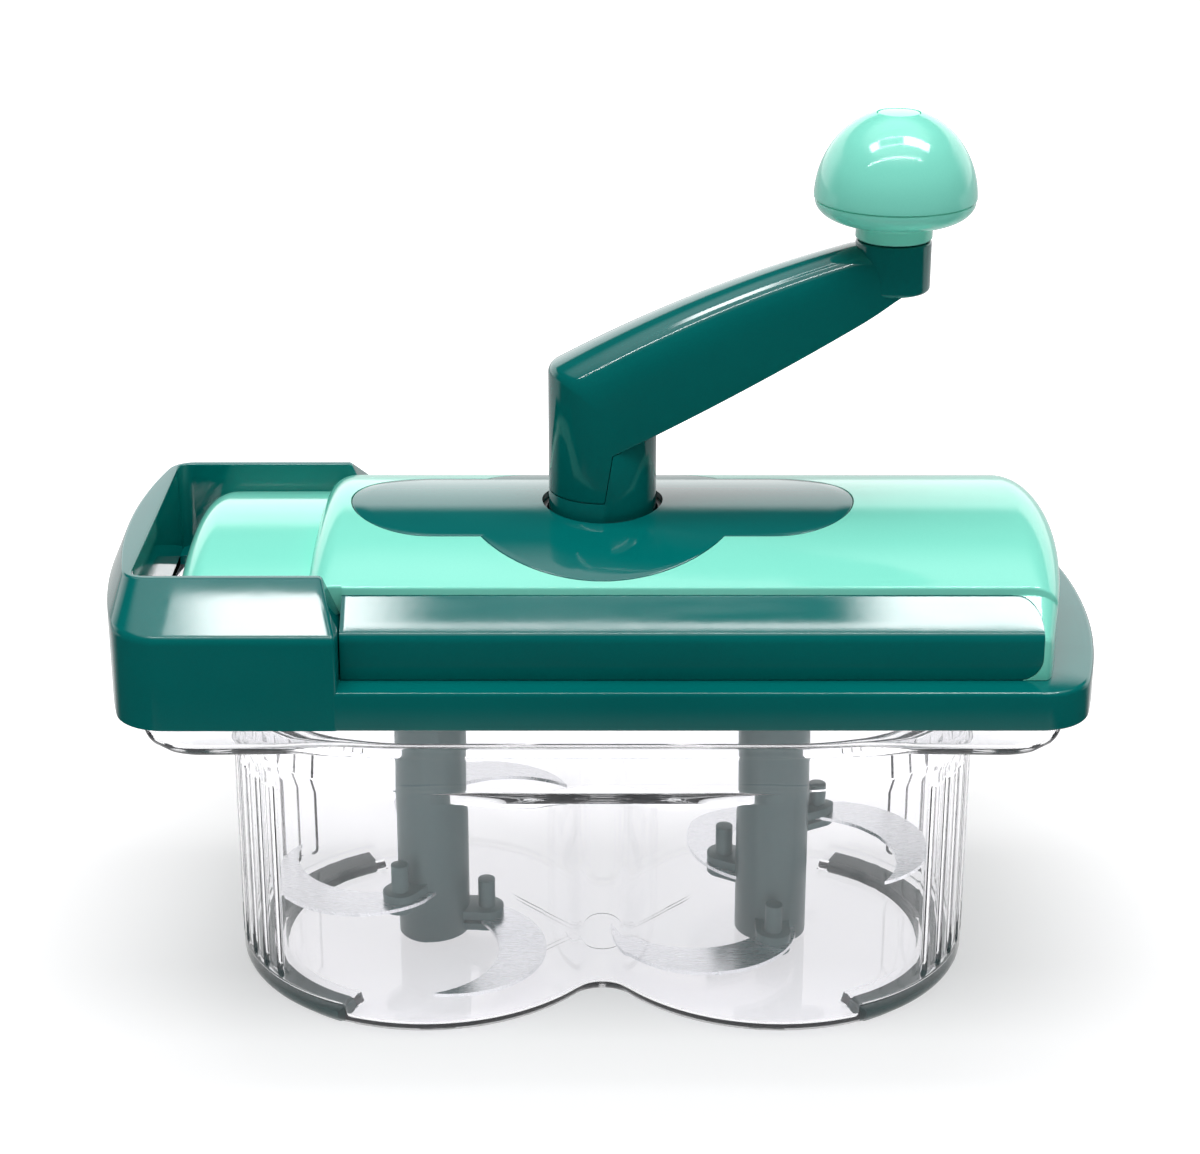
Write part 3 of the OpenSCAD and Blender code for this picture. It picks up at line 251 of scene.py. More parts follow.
def box(name, x0, x1, y0, y1, z0, z1):
    """A plain block, for cutting."""
    base = np.array([[x0, y0], [x1, y0], [x1, y1], [x0, y1]])
    faces = [[0, 3, 2, 1], [4, 5, 6, 7], [0, 1, 5, 4], [1, 2, 6, 5], [2, 3, 7, 6], [3, 0, 4, 7]]
    return make(name, [([level(base, z0), level(base, z1)], faces)])


def around(outline, cx, cy, angles):
    """Where rays from a centre meet an outline that goes once round it, angles in radians.

    Each ray is cut with the side of the outline whose two ends lie on either side of it.
    """
    v = outline - [cx, cy]
    a = np.unwrap(np.arctan2(v[:, 1], v[:, 0]))
    turn = (angles - a[0]) % (2 * math.pi) + a[0]
    k = np.clip(np.searchsorted(a, turn, side="right") - 1, 0, len(v) - 1)
    p, q = v[k], v[(k + 1) % len(v)]
    d, e = np.stack([np.cos(angles), np.sin(angles)], -1), q - p
    radius = (p[:, 0] * e[:, 1] - p[:, 1] * e[:, 0]) / (d[:, 0] * e[:, 1] - d[:, 1] * e[:, 0])
    return d * radius[:, None] + [cx, cy]


def crown(y):
    """Height of the rounded top of the drive unit at a distance y from its middle."""
    return APEX_Z - CROWN_R + np.sqrt(CROWN_R ** 2 - y ** 2)


# The clear bowl

WAIST_Y = math.sqrt((LOBE_R + WAIST_R) ** 2 - HALF_GAP ** 2)
FLUTE_ANGLES = (np.arange(FLUTES) - (FLUTES - 1) / 2) * FLUTE_PITCH


def bowl_columns():
    """Directions round the bowl, closer together across the flutes and the feet's ends.

    Each column is an angle about the axis of a lobe up to the waist fillet, and then an
    angle about the centre of the fillet. Given as a quarter turn, for mirroring.
    """
    half_flute = math.degrees(math.sqrt(FLUTE_R ** 2 - (FLUTE_R - FLUTE_DEPTH) ** 2) / LOBE_R)
    inside = np.array([-1, -0.97, -0.85, -0.62, -0.33, 0, 0.33, 0.62, 0.85, 0.97, 1])
    flutes = (FLUTE_ANGLES[FLUTE_ANGLES > 0][:, None] + inside * half_flute).ravel()
    foot_end = CHANNEL_ANGLE + np.array([-2, -0.8, -0.4, 0, 0.4, 0.8, 2])
    meet = math.degrees(math.atan2(WAIST_Y, -HALF_GAP))
    lobe = np.concatenate([flutes, np.linspace(flutes[-1] + 1.5, 62, 14), foot_end,
                           np.linspace(70, 90, 12), np.linspace(92, meet, 28)])
    return np.sort(lobe), np.linspace(meet - 180, -90, 9)[1:]


LOBE_ANGLES, WAIST_ANGLES = bowl_columns()
# The columns' directions for outlines that pass the waist, and for flutes and feet, which
# the columns at the waist are far from
STRAIGHT = np.radians(np.concatenate([LOBE_ANGLES, WAIST_ANGLES * 0 + 100]))
FROM_END = np.concatenate([LOBE_ANGLES, WAIST_ANGLES * 0 + 180])


def quarter_to_whole(q):
    """A quarter outline from the X axis to the waist, mirrored into the whole outline."""
    top = np.concatenate([q, (q * [-1, 1])[::-1][1:]])
    return np.concatenate([top, (top * [1, -1])[::-1]])


def all_round(q):
    """Values along a quarter of the bowl, mirrored to all its columns."""
    top = np.concatenate([q, q[::-1][1:]])
    return np.concatenate([top, top[::-1]])


def lobes(t):
    """Outline of the two lobes and their waist fillets, drawn in by t."""
    a, w = np.radians(LOBE_ANGLES), np.radians(WAIST_ANGLES)
    r = LOBE_R - t
    lobe = np.stack([HALF_GAP + r * np.cos(a), r * np.sin(a)], -1)
    waist = np.stack([(WAIST_R + t) * np.cos(w), WAIST_Y + (WAIST_R + t) * np.sin(w)], -1)
    return quarter_to_whole(np.concatenate([lobe, waist]))


def straight_sides(points, hw):
    """Past a quarter turn the columns run straight across the bowl to the long side."""
    a, w = np.radians(LOBE_ANGLES), np.radians(WAIST_ANGLES)
    x = np.concatenate([HALF_GAP + LOBE_R * np.cos(a), WAIST_R * np.cos(w)])
    past = np.concatenate([LOBE_ANGLES > 90, np.ones(len(w), bool)])
    return np.where(past[:, None], np.stack([x, x * 0 + hw], -1), points)


def oval(r):
    """Outline round both lobes with straight sides."""
    points = np.stack([HALF_GAP + r * np.cos(STRAIGHT), r * np.sin(STRAIGHT)], -1)
    return quarter_to_whole(straight_sides(points, r))


def tray(t):
    """Outline of the tray, drawn in by t."""
    dense = plan(TRAY_L - t, TRAY_W - t, END_R - t, CORNER_R - t, 401, 101)
    points = around(dense, HALF_GAP, 0, STRAIGHT)
    return quarter_to_whole(straight_sides(points, TRAY_W - t))


def flute_dent(z):
    """Depth of the flutes at each column at the height z.

    A flute is the path of a ball whose centre stays just outside the wall.
    """
    s = np.abs(FROM_END[:, None] - FLUTE_ANGLES).min(1) * math.pi / 180 * LOBE_R
    past = max(FLUTE_LOW + FLUTE_R - z, z - FLUTE_HIGH + FLUTE_R, 0.0)
    ball = np.sqrt(np.maximum(FLUTE_R ** 2 - s ** 2 - past ** 2, 0))
    return all_round(np.maximum(ball - (FLUTE_R - FLUTE_DEPTH), 0))


def channel(t):
    """Rise of the floor over the feet, t in from the outer wall.

    It is a smooth step of 1.2 degrees at the feet's ends and of 0.9 mm at their inner edge.
    """
    def soft(v):
        v = np.clip(v + 0.5, 0, 1)
        return v * v * (3 - 2 * v)
    side = soft((CHANNEL_ANGLE - FROM_END) / 1.2)
    edge = soft((LOBE_R - t - CHANNEL_R) / 0.9)
    return all_round(CHANNEL_RISE * side * edge)


def level(outline, z):
    """An outline at a height, or at one height for each of its points."""
    z = outline[:, :1] * 0 + np.reshape(z, (-1, 1))
    return np.concatenate([outline, z], -1)


def swept(side, radii, steps):
    """Rounded lines up a side that is given as pairs of an outline and its height."""
    return rounded(np.stack([level(o, z) for o, z in side], 1), radii, steps)


def spine(z):
    """The line between the two axes on which the floor closes."""
    x = np.clip(lobes(0)[:, 0], -HALF_GAP, HALF_GAP)
    return level(np.stack([x, x * 0], -1), z)


def build_bowl():
    """The clear bowl: two lobes with flutes, the collar over them and the tray."""
    rows = [spine(BOWL_Z)]
    rows += [level(lobes(t), BOWL_Z) for t in (25, 14, 7)]
    # The rounded base edge is a quarter circle
    for a in turns(0, 90, 9):
        inset, rise = BASE_EDGE * (1 - math.sin(a)), BASE_EDGE * (1 - math.cos(a))
        rows.append(level(lobes(inset), BOWL_Z + rise))
    # The ledge at the waist slopes down inward by a share of its width. The wall under it
    # ends where its fillet begins, and its rows above MIDDLE_Z move down in proportion.
    outer, inner = lobes(0), lobes(WALL)
    width = np.linalg.norm(oval(LOBE_R) - outer, axis=-1)
    slope = LEDGE_SLOPE * width
    slope_in = LEDGE_SLOPE * np.linalg.norm(oval(LOBE_R - WALL) - inner, axis=-1)
    wall_top = LEDGE_Z - slope - 0.95 * np.minimum(LEDGE_R, width)

    def squeezed(z):
        share = (wall_top - MIDDLE_Z) / (LEDGE_Z - MIDDLE_Z)
        return np.where(z < MIDDLE_Z, z, MIDDLE_Z + (z - MIDDLE_Z) * share)
    # The fluted wall, with rows closer together where the flutes run out
    run_out = FLUTE_R * (1 - np.cos(np.radians([0, 35, 55, 70, 82, 90])))
    low, high = FLUTE_LOW + run_out, FLUTE_HIGH - run_out[::-1]
    inward = lobes(1) - outer
    for z in np.concatenate([[7.5], low, [20, MIDDLE_Z, 56], high]):
        rows.append(level(outer + inward * flute_dent(z)[:, None], squeezed(z)))
    for z in LEDGE_Z - 0.8 * np.linspace(1, 0, 5)[:-1]:
        rows.append(level(outer, squeezed(z)))
    # The ledge, the collar, its step, the tray outside and inside, and the wall inside
    collar, step, bore = oval(LOBE_R), oval(LOBE_R + COLLAR_STEP), oval(LOBE_R - WALL)
    side = [
        (outer, wall_top), (outer, LEDGE_Z - slope), (collar, LEDGE_Z), (collar, COLLAR_Z),
        (step, COLLAR_Z + 0.3), (step, TRAY_Z), (tray(0), TRAY_Z), (tray(0), TRAY_TOP),
        (tray(TRAY_WALL), TRAY_TOP), (tray(TRAY_WALL), TRAY_Z + WALL), (bore, TRAY_Z + WALL),
        (bore, LEDGE_Z + WALL), (inner, LEDGE_Z + WALL - slope_in), (inner, FLOOR_Z + 6)]
    radii = [LEDGE_R, 2.4, 1.3, 0.4, 2.6, 5.5, 0.7, 0.7, 3.3, 1.2, 1.6, LEDGE_R]
    rows += list(swept(side, radii, 6).transpose(1, 0, 2)[1:])
    # The inner corner, and the floor with rows closer together at the channels' inner edge
    for a in turns(0, 90, 6):
        t = WALL + FLOOR_EDGE * (1 - math.cos(a))
        rows.append(level(lobes(t), FLOOR_Z + FLOOR_EDGE * (1 - math.sin(a)) + channel(t)))
    for t in (6, 9, 11.3, 11.6, 11.8, 12.0, 12.2, 12.4, 12.7, 18, 25):
        rows.append(level(lobes(t), FLOOR_Z + channel(t)))
    rows.append(spine(FLOOR_Z))
    return make("clear_bowl", closed(np.stack(rows)), 0.004, 40)


# The frame with its carrying handle

def build_frame():
    """Skirt and deck with the opening and the finger slot, the guard and the clip tabs."""
    def outline(t):
        """The frame's outline, a hair inside the guard's and drawn in by t."""
        return plan(FRAME_L - HAIR - t, FRAME_W - HAIR - t, END_R - t, CORNER_R - t, 41, 17)
    opening = plan((OPEN_X1 - OPEN_X0) / 2, OPEN_W, END_R, CORNER_R, 41, 17,
                   (OPEN_X1 + OPEN_X0) / 2)
    under = DECK_Z - DECK_T
    side = [
        (outline(FRAME_WALL / 2), SKIRT_Z), (outline(0), SKIRT_Z), (outline(0), DECK_Z),
        (opening, DECK_Z), (opening, under), (outline(FRAME_WALL), under),
        (outline(FRAME_WALL), SKIRT_Z), (outline(FRAME_WALL / 2), SKIRT_Z)]
    line = swept(side, [0.6, 1.3, 0.5, 0.3, 0.3, 0.4], 5)
    skirt = make("skirt", closed(line.transpose(1, 0, 2)))
    cut(skirt, box("slot", -HANDLE_X, SLOT_L - HANDLE_X, -SLOT_W, SLOT_W, 90, 110))
    # The guard: stations along the front, round the handle and back along the rear, with
    # six more at each end that round it off
    x = np.array([GUARD_X, -69, -75, -85, -93, -100])
    round_end = turns(-90, -270, 121)[1:-1]
    cap = turns(0, 90, 6)
    between = np.zeros(2 * len(x) - 2 + len(round_end))
    draw_in, draw_back = GUARD_EDGE * (1 - np.sin(cap)), GUARD_EDGE * (np.cos(cap) - 1)
    inset = np.concatenate([draw_in, between, draw_in[::-1]])
    shift = np.concatenate([draw_back, between, draw_back[::-1]])

    def stations(dense, hw, t):
        """An outline at each station, drawn in by t only where the ends round off."""
        turn = around(dense, x[-1], 0, round_end)
        front = np.stack([x, x * 0 - hw], -1)
        end = np.repeat(front[:1], len(cap), 0)
        line = np.concatenate([end, front[1:], turn, front[:0:-1] * [1, -1], end * [1, -1]])
        return line - np.stack([inset * 0, np.sign(line[:, 1]) * inset * t], -1)

    def bulging(hl, hw, cr, t):
        return stations(plan(hl, hw, END_R, cr, 401, 101), hw, t)
    outer = bulging(FRAME_L, FRAME_W, CORNER_R, 1)
    inner = bulging(FRAME_L - FRAME_WALL, FRAME_W - FRAME_WALL, CORNER_R - FRAME_WALL, -1)
    rim = bulging(RIM_L, RIM_W, RIM_CORNER_R, 0)
    # The bay beside the handle has a straight end
    front_corner = arc(BAY_CORNER_R - HANDLE_X, BAY_CORNER_R - BAY_W, BAY_CORNER_R, 270, 180, 41)
    bay = np.concatenate([[[100.0, -BAY_W]], front_corner])
    bay = stations(np.concatenate([bay, (bay * [1, -1])[::-1]])[::-1], BAY_W, -1)
    middle = (rim + bay) / 2
    low, deck = SKIRT_Z + 0.1, DECK_Z - DECK_T + 0.1

    def at(line, z, down=0.0):
        """Stations at a height, lower where the ends round off. Above the shoulder the two
        ends lean back, in proportion to the height."""
        z = z - down * inset
        over = np.clip((z - SHOULDER_Z) / (RIM_Z - SHOULDER_Z), 0, 1)
        lean = np.where(line[:, 0] > GUARD_X - 2.5, LEAN, 0.0)
        return np.stack([line[:, 0] + shift - over * lean, line[:, 1], z], -1)
    crest = [at(middle, RIM_Z, 1)]
    outside = [at(outer, low), at(outer, deck), at(outer, deck + 2), at(outer, SHOULDER_Z, 0.6),
               at(rim, RIM_Z, 1)]
    inside = [at(inner, low), at(inner, deck), at(bay, deck), at(bay, SHOULDER_Z, 0.6),
              at(bay, RIM_Z, 1)]
    outside = rounded(np.stack(outside + crest, 1), [0, 0, 3.0, 1.1], 6)
    inside = rounded(np.stack(inside + crest, 1), [0, 0, 0, 0.7], 6)
    loop = np.concatenate([outside, inside[:, ::-1]], 1)
    n, m = loop.shape[:2]
    k = np.arange(m // 2 - 1)
    end = np.stack([k, k + 1, m - 2 - k, m - 1 - k], -1)
    faces = np.concatenate([grid(n, m, wrap_cols=True), end, end[:, ::-1] + (n - 1) * m])
    parts = [make("guard", [(loop, faces)])]
    for sx in (-1, 1):
        for sy in (-1, 1):
            tx, ty = sx * TAB_X, sy * (TRAY_W - TRAY_WALL - TAB_GAP - TAB_T)
            parts.append(box("tab", tx - TAB_L, tx + TAB_L, ty - TAB_T, ty + TAB_T, TAB_Z, 103))
    return join(skirt, *parts)


# The drive unit

def build_bands():
    """The two side bands and the body between them, with rounded ends."""
    x1, r = BAND_X1, BAND_END_R
    end = x1 - r + r * np.sin(turns(0, 90, 13))
    x = np.concatenate([[UNIT_X0, UNIT_X0 + 1.8, UNIT_X0 + 4, -40, 0, 40, 80, x1 - r - 3], end])
    fall = falls(r, x - x1 + r)
    low, high = DECK_Z + 0.02 + fall, LIP_Z - 0.1 - fall
    # The facet over the band is cut off where the rounded end falls below its top
    slope = (UNIT_W - LIP_W) / (LIP_Z - BAND_Z)
    bend = np.minimum(BAND_Z, high - 0.3)
    facet_y = np.maximum(high - BAND_Z, 0) * slope - UNIT_W
    side = x * 0 - UNIT_W
    half = [(x, x * 0, low), (x, side, low), (x, side, bend), (x, facet_y, high), (x, x * 0, high)]
    control = np.stack([np.stack(p, -1) for p in half], 1)
    loop = both_sides(rounded(control, [0.5, 3.6, 1.1], 7))
    bands = make("side_bands", closed(loop, 0, -1))
    bevel(bands, 0.9, 4, 42)
    bake(bands)
    # The room for the gears, open under the cover, and the bores for the three shafts
    wall = [(-50.4, 107.4), (-50.4, 115.2), (-40.2, 122.2), (-40.2, 131)]
    y, z = np.array(wall + [(-y, z) for y, z in wall[::-1]]).T
    room = np.stack([np.stack([y * 0 + e, y, z], -1) for e in (UNIT_X0 + 3.6, x1 - 2.4)])
    bores = [lathe("bore", [(0, 100), (r, 100), (r, 112), (0, 112)], x, 64)
             for x, r, wide, top in BEARINGS]
    cut(bands, make("room", closed(room, 0, 1)), *bores)
    # The collar that drops into the frame
    l0, l1, hw = OPEN_X0 + SPIGOT_GAP, OPEN_X1 - SPIGOT_GAP, OPEN_W - SPIGOT_GAP
    hl, cx, t, top = (l1 - l0) / 2, (l0 + l1) / 2, SPIGOT_T, DECK_Z + 0.5
    outer = plan(hl, hw, END_R, CORNER_R, 25, 13, cx)
    inner = plan(hl - t, hw - t, END_R, CORNER_R - t, 25, 13, cx)
    ring = [level(outer, SPIGOT_Z), level(outer, top), level(inner, top), level(inner, SPIGOT_Z)]
    faces = grid(4, len(outer), wrap_rows=True, wrap_cols=True)
    parts = [make("spigot", [(np.stack(ring), faces)])]
    for x, r, wide, top in BEARINGS:
        tube = [(r, top), (r, SPIGOT_Z), (wide, SPIGOT_Z), (wide, top), (r, top)]
        parts.append(lathe("bearing", rounded(tube, [0.3, 0.4, 0.3], 3), x, 64))
    return join(bands, *parts)


def inlay_outline(t, angles):
    """Outline of the inlay grown by t: a long round-ended bar and a lobe front and rear.

    Each ray from the middle ends on the bar or on the circle of a lobe, the farther of them.
    """
    dense = turns(0, 360, 1441)[:-1]
    c, s = np.cos(dense), np.sin(dense)
    hw, lobe, end_x = INLAY_W + t, INLAY_LOBE + t, INLAY_L - INLAY_W
    straight = hw / np.maximum(np.abs(s), 1e-9)
    round_end = end_x * np.abs(c) + np.sqrt(np.maximum(hw ** 2 - (end_x * s) ** 2, 0))
    bar = np.where(np.abs(c) * hw > end_x * np.abs(s), round_end, straight)
    out = INLAY_OUT * np.abs(s) + np.sqrt(lobe ** 2 - (INLAY_OUT * c) ** 2)
    radius = np.maximum(bar, out)
    return around(np.stack([radius * c, radius * s], -1), 0, 0, angles)


def inlay_angles():
    """Directions round the inlay, closer together where the bar meets the lobes."""
    reach = math.sqrt(INLAY_LOBE ** 2 - (INLAY_W - INLAY_OUT) ** 2)
    corner = math.degrees(math.atan2(INLAY_W, reach))
    a = np.concatenate([np.linspace(0, 90, 91), corner + np.linspace(-1.5, 1.5, 13)])
    a = np.unique(np.round(a, 3))
    a = np.concatenate([a, 180 - a[::-1][1:]])
    return np.radians(np.concatenate([a, 180 + a[1:-1]]))


def inlay_solid(name, grow, hole, over, under, edge):
    """A plate with the inlay's outline that follows the crown, with a round hole.

    Its top is over, its bottom under the crown, and its upper rim is rounded by edge.
    """
    a = inlay_angles()
    rim = inlay_outline(grow, a)
    ring = np.stack([hole * np.cos(a), hole * np.sin(a)], -1)
    length = np.linalg.norm(rim - ring, axis=-1, keepdims=True)

    def row(share, rise):
        """Points at a share of the way from the hole to the rim, over the crown by rise."""
        p = ring + (rim - ring) * share
        return level(p, crown(p[:, 1]) + rise)
    rows = [row(k * (1 - edge / length), over) for k in np.linspace(0, 1, 15)]
    for a in turns(0, 90, 5)[1:]:
        rows.append(row(1 - edge * (1 - math.sin(a)) / length, over - edge * (1 - math.cos(a))))
    rows += [row(k, -under) for k in np.linspace(1, 0, 15)]
    faces = grid(len(rows), len(rim), wrap_rows=True, wrap_cols=True)
    return make(name, [(np.stack(rows), faces)])


def cover_solid(name, t):
    """The crown with its rounded ends as one closed form, drawn in by t.

    Each section runs from under the middle to the foot of the side, over the facet and the
    lip and across the crown. The crown falls along a quarter circle at either end, and the
    right end bulges by y squared over 400.
    """
    left_r, right_r, turn = STEP_R - t, CROWN_END_R - t, CROWN_TURN_X + t
    left = STEP_X + t + left_r * (1 - np.cos(turns(0, 90, 9)))
    right = UNIT_X1 - CROWN_END_R + right_r * np.sin(turns(0, 90, 21))
    flank = [UNIT_X0 - 0.01 + t, UNIT_X0 + 0.01 + t, -50, -20, 20, 60, 95, turn, turn]
    x = np.concatenate([left, flank, right[right > turn + 0.05]])
    # Before the turn the side ends at the lip, over the bands. Past it the side is full.
    full = np.arange(len(x)) > np.searchsorted(x, turn)
    behind = x < UNIT_X0 + t
    drop_l = falls(left_r, STEP_X + STEP_R - x)
    drop_r = falls(right_r, x - UNIT_X1 + CROWN_END_R)
    tuck = falls(3.5, x + t - UNIT_X1 + 3.5)
    near = LIP_W - t - np.where(behind, LIP_W - TONGUE_W, 0) - 0.6 * tuck
    yc = -near[:, None] * np.linspace(1, 0, 45)
    across = (yc / LIP_W) ** 2
    fall = drop_l[:, None] * (1 - 0.35 * across) + drop_r[:, None] * (1 - 0.5 * across)
    zc = crown(yc) - t - fall
    lip_z = LIP_Z - t - drop_l * 0.55 - drop_r * 0.45
    foot_z = np.where(full, DECK_Z + 0.1, np.where(behind, STEP_Z, LIP_Z))
    foot_z = foot_z - (ROOM_DROP if t else 0.0)
    side_y = np.where(full, UNIT_W - t - tuck, near)
    side_z = np.where(full, BAND_Z - t - drop_r * 0.25, np.maximum(foot_z, lip_z - 1))
    control = [(x, x * 0, foot_z), (x, -side_y, foot_z), (x, -side_y, side_z), (x, -near, lip_z),
               (x, yc[:, 0], zc[:, 0]), (x, yc[:, 3], zc[:, 3])]
    edge = rounded(np.stack([np.stack(p, -1) for p in control], 1), [0.1, 2.0, 0.5, 0.8], 5)
    rest = np.stack([x[:, None] + yc * 0, yc, zc], -1)[:, 4:]
    loop = both_sides(np.concatenate([edge, rest], 1))
    bulge = np.clip((loop[..., 0] - 100) / (UNIT_X1 - 100), 0, 1) ** 2
    loop[..., 0] -= bulge * loop[..., 1] ** 2 / 400
    # The end face is closed by ever smaller copies of its outline that keep the bulge
    last, foot = loop[-1], foot_z[-1]
    for share in (0.75, 0.5, 0.25, 0.0):
        y, z = last[:, 1] * share, foot + (last[:, 2] - foot) * share
        loop = np.concatenate([loop, [np.stack([UNIT_X1 - t - y ** 2 / 400, y, z], -1)]])
    return make(name, closed(loop, 0))


def tongue_solid(name, t):
    """The lower end of the cover beside the handle as one closed form, drawn in by t.

    Its end is part of a circle, a little short of upright, and bulges by y squared over
    3000. The first section is flat on the foot, so the end closes there.
    """
    top = APEX_Z - TONGUE_DROP
    foot = DECK_Z + TONGUE_LIFT - (ROOM_DROP if t else 0.0)
    r, slope = 7.5, 1.3
    a = turns(170, 90, 13)
    end = TONGUE_X + r + slope + (r - t) * np.cos(a)
    x = np.concatenate([[TONGUE_X + t, TONGUE_X + t], end, [-95, STEP_X + 3 - t]])[:, None]
    fall = np.concatenate([[top - foot, top - BAND_Z], r - (r - t) * np.sin(a), [t, t]])
    y = -(TONGUE_W - t) * np.linspace(1, 0, 31)
    z = crown(y) - TONGUE_DROP - fall[:, None] * (1 - 0.25 * (y / TONGUE_W) ** 2)
    z = np.maximum(z, foot)
    z[0] = foot
    body = np.stack(np.broadcast_arrays(x, y, z), -1)
    wall, under = body[:, :1] * [1, 1, 0] + [0, 0, foot], body[:, -1:] * [1, 1, 0] + [0, 0, foot]
    edge = np.concatenate([under, wall, body[:, :1], body[:, 3:4]], 1)
    edge = rounded(edge, [0.1, 1.6], 6)
    bottom = np.stack(np.broadcast_arrays(x, y[3:][::-1], foot), -1)
    loop = both_sides(np.concatenate([bottom, edge[:, 1:], body[:, 4:]], 1))
    near_end = np.clip(1 - (loop[..., 0] - TONGUE_X) / 20, 0, 1)
    loop[..., 0] += near_end * loop[..., 1] ** 2 / 3000
    return make(name, closed(loop, -1))


def build_cover():
    """The mint cover: the crown and the tongue as shells, with the recess and the hub's hole."""
    shell = cover_solid("cover", 0.0)
    recess = inlay_solid("recess", 0.3, 3.0, 3.0, INLAY_T, 0.0)
    r = HOLE_R + 0.1
    hole = lathe("hole", [(0, 118), (r, 118), (r, 145), (0, 145)], n=128)
    # The side bands end in rounded corners that the cover fills round
    x0, x1, top = 60, BAND_X1 + 0.03, LIP_Z - 0.03
    corners = [[x0, DECK_Z], [x1, DECK_Z], [x1, top], [x0, top]]
    x, z = rounded(corners, [BAND_END_R, BAND_END_R], 10).T
    space = np.stack([np.stack([x, x * 0 + y, z], -1) for y in (-60, 60)])
    space = make("space", closed(space, 0, 1))
    cut(shell, cover_solid("room", COVER_T), space, recess, hole)
    tongue = tongue_solid("tongue", 0.0)
    cut(tongue, tongue_solid("tongue_room", TONGUE_T))
    return join(shell, tongue)


# The crank

def arm_top(x):
    """Height of the arm's ridge: a rising line bent down by a parabola, level past the post."""
    u = np.clip(x, -100, CRANK_R - POST_R)
    return 179.8 + 0.5 * u - 0.13 * u * u / CRANK_R


def arm_under(x):
    """Height of the arm's underside: a rising line bent up by a parabola."""
    return 151.44 + 0.47 * (x - 2.6) + 0.07 * x * x / CRANK_R


def arm_width(x):
    """Half the width of the arm, from the hub's radius to just inside the post."""
    return HUB_R + (0.9 * POST_R - HUB_R) * np.maximum(x, 0) / CRANK_R


def arm_crown(x, y):
    """Top of the arm: half a superellipse of power 2.5 across it, on a ridge that rises."""
    h = ARM_HUB_H + (ARM_POST_H - ARM_HUB_H) * np.maximum(x, 0) / CRANK_R
    share = np.clip(np.abs(y) / arm_width(x), 0, 1)
    return arm_top(x) - h + h * (1 - share ** 2.5) ** 0.4


def arm_section(centre_x, dx, dy, low):
    """Points from under the middle, round the side and over the crown to the ridge.

    The crown's rim is a quarter circle of radius ARM_EDGE.
    """
    psi = turns(90, 0, 13)
    inner = np.array([0.94, 0.85, 0.73, 0.6, 0.46, 0.3, 0.15, 0.0])
    reach = np.hypot(dx, dy)[:, None]
    rim = 1 - ARM_EDGE * (1 - np.sin(psi)) / reach
    out = np.concatenate([rim, (1 - ARM_EDGE / reach) * inner], -1)
    fall = np.concatenate([ARM_EDGE * (1 - np.cos(psi)), inner * 0])
    x = centre_x[:, None] + dx[:, None] * out
    y = dy[:, None] * out
    z = arm_crown(x, y) - fall
    ends = np.stack([centre_x + dx, dy, z[:, 0]], -1)
    middle = np.stack([centre_x, dy * 0, low], -1)
    bottom = np.stack([centre_x + dx, dy, low], -1)
    under = rounded(np.stack([middle, bottom, ends], 1), [0.45], 4)
    return np.concatenate([under[:, :-1], np.stack([x, y, z], -1)], 1)


def build_arm():
    """The crank arm: a skirt round the hub, the crowned arm and the post under the knob."""
    beta = turns(90, 270, 61)
    hub_x, hub_y = HUB_R * np.cos(beta) + 1e-9, HUB_R * np.sin(beta)
    hub = arm_section(beta * 0, hub_x, hub_y, beta * 0 + SEAM_Z)
    x = np.concatenate([[0, 0.5, 2.6], np.linspace(4.5, 77.5, 40)])
    under = arm_under(x) + 0.75 * np.clip((x - 66) / 10, 0, 1) ** 2
    side = arm_section(x, x * 0 + 1e-9, arm_width(x), np.where(x < 0.51, SEAM_Z, under))
    parts = [(hub, grid(*hub.shape[:2]))] + closed(both_sides(side), -1)
    arm = make("arm", parts, 0.003, 38)
    post = [(0, POST_Z), (POST_R, POST_Z), (POST_R, POST_TOP), (0, POST_TOP)]
    return join(arm, lathe("post", rounded(post, [1.3, 0.5], 6), CRANK_R))


def build_knob():
    """The dome, the base with its collar, and the disc let into the top of the dome.

    The dome is part of an ellipse, cut off at the disc. The base is a quarter of one.
    """
    r, seam, top = KNOB_R, KNOB_SEAM, KNOB_TOP
    height = (top - seam) / math.sqrt(1 - (DISC_R / r) ** 2)
    a = turns(0, math.degrees(math.acos(DISC_R / r)), 40)[1:]
    dome = np.stack([r * np.cos(a), seam + height * np.sin(a)], -1)
    inside = [[0, top - 3.2], [8, top - 3.8], [14.5, top - 9], [r - 2.4, seam + 3]]
    foot = [[r - 2.4, seam + 0.06], [r - 0.3, seam + 0.06], [r - 0.05, seam + 0.3]]
    seat = [[5.65, top - 0.1], [5.6, top - 0.8], [0, top - 0.8]]
    dome = lathe("knob_dome_shell", np.concatenate([inside, foot, dome, seat]), CRANK_R, 128, 30)
    a = turns(0, 90, 24)
    cup = np.stack([10.6 + (r - 10.9) * np.sin(a), seam - 0.3 - 5.9 * np.cos(a)], -1)
    z = KNOB_Z
    neck = [[3.3, z], [9.6, z], [10.0, z + 0.4], [10.0, z + 3.2], [10.15, z + 3.7]]
    rim = [[r - 0.6, seam - 0.06], [3.3, seam - 0.06], [3.3, z]]
    base = lathe("knob_base_cup", np.concatenate([neck, cup, rim]), CRANK_R, 128, 30)
    disc = [(0, top - 0.9), (5.45, top - 0.9), (5.45, top - 0.05), (0, top)]
    return dome, base, lathe("knob_cap", rounded(disc, [0.05, 0.35], 5), CRANK_R, 96, 30)


